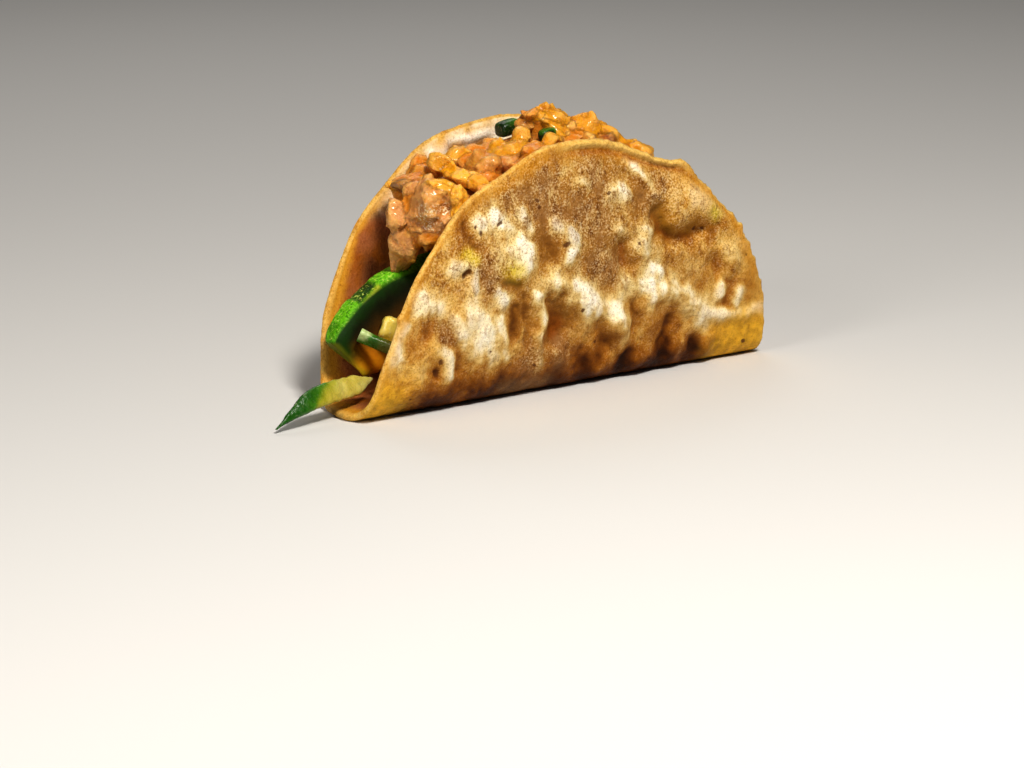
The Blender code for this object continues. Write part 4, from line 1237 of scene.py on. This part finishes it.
chilli = {
    # each strip's line in shares of the node's box, from the inner end
    "longLine": ((1.0, 0.85, 0.80), (0.775, 0.69, 0.72), (0.563, 0.52, 0.70), (0.351, 0.35, 0.59),
                 (0.142, 0.185, 0.28), (0.004, 0.08, 0.04)),
    "longSize": (4.6, 2.2),
    "shortLine": ((0.044, 0.945, 0.91), (0.274, 0.744, 0.70), (0.568, 0.45, 0.46), (0.94, 0.083, 0.16)),
    "shortSize": (3.0, 2.0),
    # the ends' outline from the cut face on: share of the length, share of the radius
    "endProfile": ((-0.47, 0.4), (-0.47, 0.75), (-0.5, 0.88), (-0.48, 0.97), (-0.4, 1.02), (-0.2, 1.04),
                   (0.1, 1.04), (0.32, 1.02), (0.43, 0.94), (0.48, 0.8), (0.5, 0.6), (0.5, 0.2)),
    "endSides": 48,
    "stations": 90,
    "sides": 40,
    "flesh": (0.50, 0.41, 0.07),
    "paleFlesh": (0.66, 0.60, 0.22),
    "oliveFlesh": (0.34, 0.32, 0.02),
    "oliveBrownFlesh": (0.14, 0.11, 0.010),
    "cutFlesh": (0.46, 0.56, 0.24),
    "edgeGlint": (0.55, 0.62, 0.36),
    "skin": (0.012, 0.085, 0.003),
    "brightSkin": (0.045, 0.17, 0.006),
    "darkSkin": (0.006, 0.022, 0.002),
    "rim": (0.14, 0.30, 0.02),
}


def chilliMaterial():
    material, tree = startMaterial("greenChilli", specular=0.35, coat=(0.08, 0.12),
                                   glow=(0.15, (0.6, 1.0, 0.2), 1.0))
    where = objectPlace(tree)
    tint = attributeOf(tree, "tint", "Color")
    fine, cloudy = noiseOf(tree, where, 0.5, 3.0), noiseOf(tree, where, 1.6, 3.0)
    colour = layOver(tree, tint, (0.75, 0.72, 0.40), times(tree, ramp(tree, fine, 0.55, 0.72), 0.12))
    colour = layOver(tree, colour, (0.02, 0.07, 0.004), times(tree, ramp(tree, cloudy, 0.45, 0.3), 0.25))
    roughness = plus(tree, times(tree, cloudy, 0.25), 0.15)
    return finishMaterial(material, colour, roughness, (cloudy, 0.3), (fine, 0.1))


def onCurve(line, share):
    # place and direction on the smooth curve through a line's points
    spans = len(line) - 1
    span = min(int(share * spans), spans - 1)
    t = share * spans - span
    p1, p2 = line[span], line[span + 1]
    p0 = line[span - 1] if span > 0 else 2.0 * p1 - p2
    p3 = line[span + 2] if span + 2 <= spans else 2.0 * p2 - p1
    place = 0.5 * (2.0 * p1 + (p2 - p0) * t + (2.0 * p0 - 5.0 * p1 + 4.0 * p2 - p3) * t ** 2
                   + (3.0 * p1 - p0 - 3.0 * p2 + p3) * t ** 3)
    ahead = 0.5 * ((p2 - p0) + 2.0 * (2.0 * p0 - 5.0 * p1 + 4.0 * p2 - p3) * t
                   + 3.0 * (3.0 * p1 - p0 - 3.0 * p2 + p3) * t ** 2)
    return place, ahead.normalized()


def stripShape(node, line, size, pointed):
    low, high = (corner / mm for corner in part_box(node))
    line = [Vector([low[axis] + (high[axis] - low[axis]) * share[axis] for axis in range(3)])
            for share in line]
    points, facts = [], []
    for station in range(chilli["stations"]):
        share = station / (chilli["stations"] - 1)
        place, ahead = onCurve(line, share)
        side = ahead.cross(Vector((0.0, 0.0, 1.0))).normalized()
        up = side.cross(ahead).normalized()
        if pointed:
            swell = 0.12 + 0.88 * float(smoothStep(0.0, 0.2, share + 0.03))
            swell *= 1.0 - 0.9 * float(smoothStep(0.5, 1.0, share))
        else:
            swell = 1.1 - 0.1 * float(smoothStep(0.0, 0.25, share))
        swell *= 1.0 if 0 < station < chilli["stations"] - 1 else 0.85
        for corner in range(chilli["sides"]):
            angle = 2.0 * math.pi * corner / chilli["sides"]
            wide, thick = squared(math.cos(angle), 0.7), squared(math.sin(angle), 0.7)
            spot = (place + (up * 0.85 + side * 0.5).normalized() * wide * size[0] / 2.0 * swell
                    + (side * 0.85 - up * 0.5).normalized() * thick * size[1] / 2.0 * (0.45 + 0.55 * swell))
            points.append(spot)
            facts.append((share, wide))
    return np.array(points), np.array(facts)


def makeStrips(material):
    faces = loftFaces(chilli["stations"], chilli["sides"])
    points, facts = stripShape("chilli_strip_long", chilli["longLine"], chilli["longSize"], True)
    share, wide = facts.T
    cloudy, fine = billows(points, 3.0, 601, 3), billows(points, 1.0, 611, 3)
    tint = startTint(points, chilli["flesh"])
    paint(tint, chilli["paleFlesh"], 0.5 + cloudy - 0.4 * smoothStep(0.25, 0.5, share))
    paint(tint, chilli["oliveFlesh"], smoothStep(0.25, 0.5, share + 0.15 * cloudy + 0.05 * wide))
    paint(tint, chilli["brightSkin"], smoothStep(0.45, 0.56, share + 0.1 * wide + 0.06 * cloudy))
    paint(tint, chilli["skin"], smoothStep(0.5, 0.72, share + 0.08 * wide + 0.1 * fine))
    # painted highlight: pale glints along one edge of the skin
    edgeGlintCover = smoothStep(0.7, 0.95, wide) * smoothStep(0.55, 0.7, share) * smoothStep(-0.1, 0.4, fine)
    paint(tint, chilli["edgeGlint"], edgeGlintCover * 0.7)
    mesh = buildMesh("long_strip", points, faces)
    ribs = np.sin(share * 60.0 + 2.0 * cloudy) * 0.07 * (1.0 - smoothStep(0.4, 0.5, share))
    swollen = (0.4 + 0.6 * smoothStep(0.45, 0.6, share)) * (1.0 - smoothStep(0.85, 1.0, share))
    lumps = (cloudy * 0.22 + fine * 0.1) * swollen
    setPoints(mesh, points + meshNormals(mesh) * (ribs + lumps)[:, None])
    giveTint(mesh, tint)
    addPiece("long_strip", mesh, material, "green_chilli", "chilli_strip_long")
    points, facts = stripShape("chilli_strip_short", chilli["shortLine"], chilli["shortSize"], False)
    share, wide = facts.T
    cloudy, fine = billows(points, 3.0, 621, 3), billows(points, 1.0, 631, 3)
    tint = startTint(points, chilli["skin"])
    # darker olive-brown along the strip away from its cut end
    paint(tint, chilli["oliveBrownFlesh"], smoothStep(0.25, 0.7, share + 0.3 * cloudy) * 0.85)
    paint(tint, chilli["brightSkin"], (1.0 - smoothStep(0.15, 0.45, share + 0.1 * fine)) * 0.9)
    atEnd = 1.0 - smoothStep(0.08, 0.24, share + 0.1 * fine)
    paint(tint, chilli["cutFlesh"], atEnd * smoothStep(-0.5, 0.2, wide))
    mesh = buildMesh("short_strip", points, faces)
    setPoints(mesh, points + meshNormals(mesh) * (cloudy * 0.12 + fine * 0.05)[:, None])
    giveTint(mesh, tint)
    addPiece("short_strip", mesh, material, "green_chilli", "chilli_strip_short")


def makeChilliEnds(material):
    # short ends lying on their sides, the cut face at -X
    profile, sides = chilli["endProfile"], chilli["endSides"]
    for number, node in enumerate(("chilli_bit_a", "chilli_bit_b")):
        low, high = (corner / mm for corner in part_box(node))
        middle, reach = (low + high) / 2.0, (high.y - low.y) / 2.0 / 1.04
        points, facts = [], []
        for share, swell in profile:
            for corner in range(sides):
                angle = 2.0 * math.pi * corner / sides
                out, up = squared(math.cos(angle), 0.65), squared(math.sin(angle), 0.65)
                points.append((middle.x - (high.x - low.x) * share, middle.y + out * reach * swell,
                               middle.z + up * reach * swell * 0.88 - (high.x - low.x) * share * 0.15))
                facts.append((share, math.sin(angle)))
        points, facts = np.array(points), np.array(facts)
        cloudy, fine = billows(points, 2.2, 641 + number, 3), billows(points, 0.6, 651, 2)
        tint = startTint(points, chilli["darkSkin"])
        # painted light: the upper side bright green over a near-black base, which is a painted dark
        # reflection
        bright = smoothStep(0.2, 0.9, 0.8 * cloudy + (0.4 + 0.5 * number) * facts[:, 1] + 0.3 * fine)
        paint(tint, chilli["brightSkin"], bright * 0.8)
        rim = smoothStep(-0.3, -0.45, facts[:, 0]) * smoothStep(-0.7, 0.2, cloudy + facts[:, 1])
        paint(tint, chilli["rim"], rim * 0.85)
        name = node + "_end"
        mesh = buildMesh(name, points, loftFaces(len(profile), sides))
        setPoints(mesh, points + meshNormals(mesh) * (cloudy * 0.3 + fine * 0.05)[:, None])
        giveTint(mesh, tint)
        addPiece(name, mesh, material, "green_chilli", node)


chilliSkin = chilliMaterial()
makeStrips(chilliSkin)
makeChilliEnds(chilliSkin)
print("chilli done")


# onion dice

onion = {
    "size": (4.1, 3.3, 5.7),
    "bevel": 1.35,
    "lumpiness": 0.65,
    "turns": (18.0, -12.0),
    "pale": (0.78, 0.60, 0.12),
    "green": (0.52, 0.44, 0.02),
    "amber": (0.62, 0.34, 0.02),
}


def onionMaterial():
    material, tree = startMaterial("onionFlesh", coat=(0.3, 0.15), glow=(0.3, (1.0, 0.8, 0.4), 1.5))
    where = objectPlace(tree)
    fine = noiseOf(tree, where, 0.6, 3.0)
    colour = layOver(tree, attributeOf(tree, "tint", "Color"), (0.88, 0.80, 0.50),
                     times(tree, ramp(tree, fine, 0.5, 0.7), 0.25))
    return finishMaterial(material, colour, plus(tree, times(tree, fine, 0.2), 0.2), (fine, 0.15))


def makeOnion():
    low, high = (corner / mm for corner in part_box("onion_piece"))
    middle = (low + high) / 2.0
    tiltY, turnZ = onion["turns"]
    spin = Matrix.Rotation(math.radians(tiltY), 4, "Y") @ Matrix.Rotation(math.radians(turnZ), 4, "Z")
    shape = bmesh.new()
    bmesh.ops.create_cube(shape, size=1.0, matrix=Matrix.Diagonal((*onion["size"], 1.0)))
    bmesh.ops.bevel(shape, geom=shape.edges[:], offset=onion["bevel"], segments=5, affect="EDGES",
                    profile=0.5)
    bmesh.ops.subdivide_edges(shape, edges=shape.edges[:], cuts=3, use_grid_fill=True)
    bmesh.ops.transform(shape, matrix=Matrix.Translation(middle) @ spin, verts=shape.verts)
    mesh = bpy.data.meshes.new("onion_dice")
    bmesh.ops.scale(shape, vec=(mm, mm, mm), verts=shape.verts)
    shape.to_mesh(mesh)
    shape.free()
    mesh.shade_smooth()
    points = meshPoints(mesh)
    lumpy = billows(points, 2.2, 701, 3)
    points += meshNormals(mesh) * (lumpy * onion["lumpiness"])[:, None]
    setPoints(mesh, points)
    tint = startTint(points, onion["pale"])
    paint(tint, onion["green"], smoothStep(0.2, -0.5, lumpy) * 0.8)
    sunk = smoothStep(0.6, -2.2, points[:, 2] - middle.z)
    paint(tint, onion["amber"], sunk * 0.8)
    giveTint(mesh, tint)
    addPiece("onion_dice", mesh, onionMaterial(), "onion", "onion_piece")


makeOnion()
print("onion done")


# floor, light and camera

studio = {
    "azimuth": -39.0,
    "elevation": 11.0,
    "distance": 900.0,
    "orbit": (0.0, 0.0, 28.0),      # what the camera's distance and angles are measured from
    "aim": (-0.8, -3.7, 0.5),       # from the middle of the part's underside
    "lens": 145.2,
    "floor": (0.66, 0.65, 0.635),
    "floorReach": 12.0,             # half its side, in diagonals of the part's box
    # name, azimuth and elevation it shines from, distance, size, power, colour
    "lights": (
        ("key", -14.0, 53.0, 700.0, 130.0, 5.5, (1.0, 0.96, 0.9)),
        ("fill", -72.0, 26.0, 900.0, 260.0, 2.4, (1.0, 0.96, 0.9)),
        ("back", 150.0, 45.0, 800.0, 400.0, 1.0, (1.0, 0.98, 0.95)),
    ),
    "skyStrength": 0.08,
    "gamma": 0.86,              # a little below 1 deepens the middle tones
}


def fromAngles(azimuth, elevation):
    a, e = math.radians(azimuth), math.radians(elevation)
    return Vector((math.sin(a) * math.cos(e), -math.cos(a) * math.cos(e), math.sin(e)))


def makeStudio():
    low, high = cadBox
    middle = Vector(((low.x + high.x) / 2.0, (low.y + high.y) / 2.0, low.z))
    floorMesh = bpy.data.meshes.new("floor")
    half = (high - low).length * studio["floorReach"]
    spread = ((-half, -half), (half, -half), (half, half), (-half, half))
    floorMesh.from_pydata([(x, y, low.z) for x, y in spread], [], [(0, 1, 2, 3)])
    floor = linkObject("floor", floorMesh)
    material, tree = startMaterial("paleFloor")
    sockets = tree.nodes["Principled BSDF"].inputs
    sockets["Base Color"].default_value = (*studio["floor"], 1.0)
    sockets["Roughness"].default_value = 0.8
    floorMesh.materials.append(material)
    for name, azimuth, elevation, distance, size, power, colour in studio["lights"]:
        data = bpy.data.lights.new(name, "AREA")
        data.size, data.energy, data.color = size * mm, power, colour
        lamp = linkObject(name, data)
        lamp.location = middle + fromAngles(azimuth, elevation) * distance * mm
        lamp.rotation_euler = (lamp.location - middle).to_track_quat("Z", "Y").to_euler()
    world = bpy.data.worlds.new("studio")
    world.use_nodes = True
    world.node_tree.nodes["Background"].inputs["Color"].default_value = (1.0, 0.98, 0.96, 1.0)
    world.node_tree.nodes["Background"].inputs["Strength"].default_value = studio["skyStrength"]
    bpy.context.scene.world = world
    lens = bpy.data.cameras.new("camera")
    lens.lens = studio["lens"]
    camera = linkObject("camera", lens)
    aim = middle + Vector(studio["aim"]) * mm
    away = fromAngles(studio["azimuth"], studio["elevation"]) * studio["distance"] * mm
    camera.location = Vector(studio["orbit"]) * mm + away
    camera.rotation_euler = (camera.location - aim).to_track_quat("Z", "Y").to_euler()
    bpy.context.scene.camera = camera
    bpy.context.scene.view_settings.view_transform = "Standard"
    bpy.context.scene.view_settings.gamma = studio["gamma"]


makeStudio()
print("studio done")
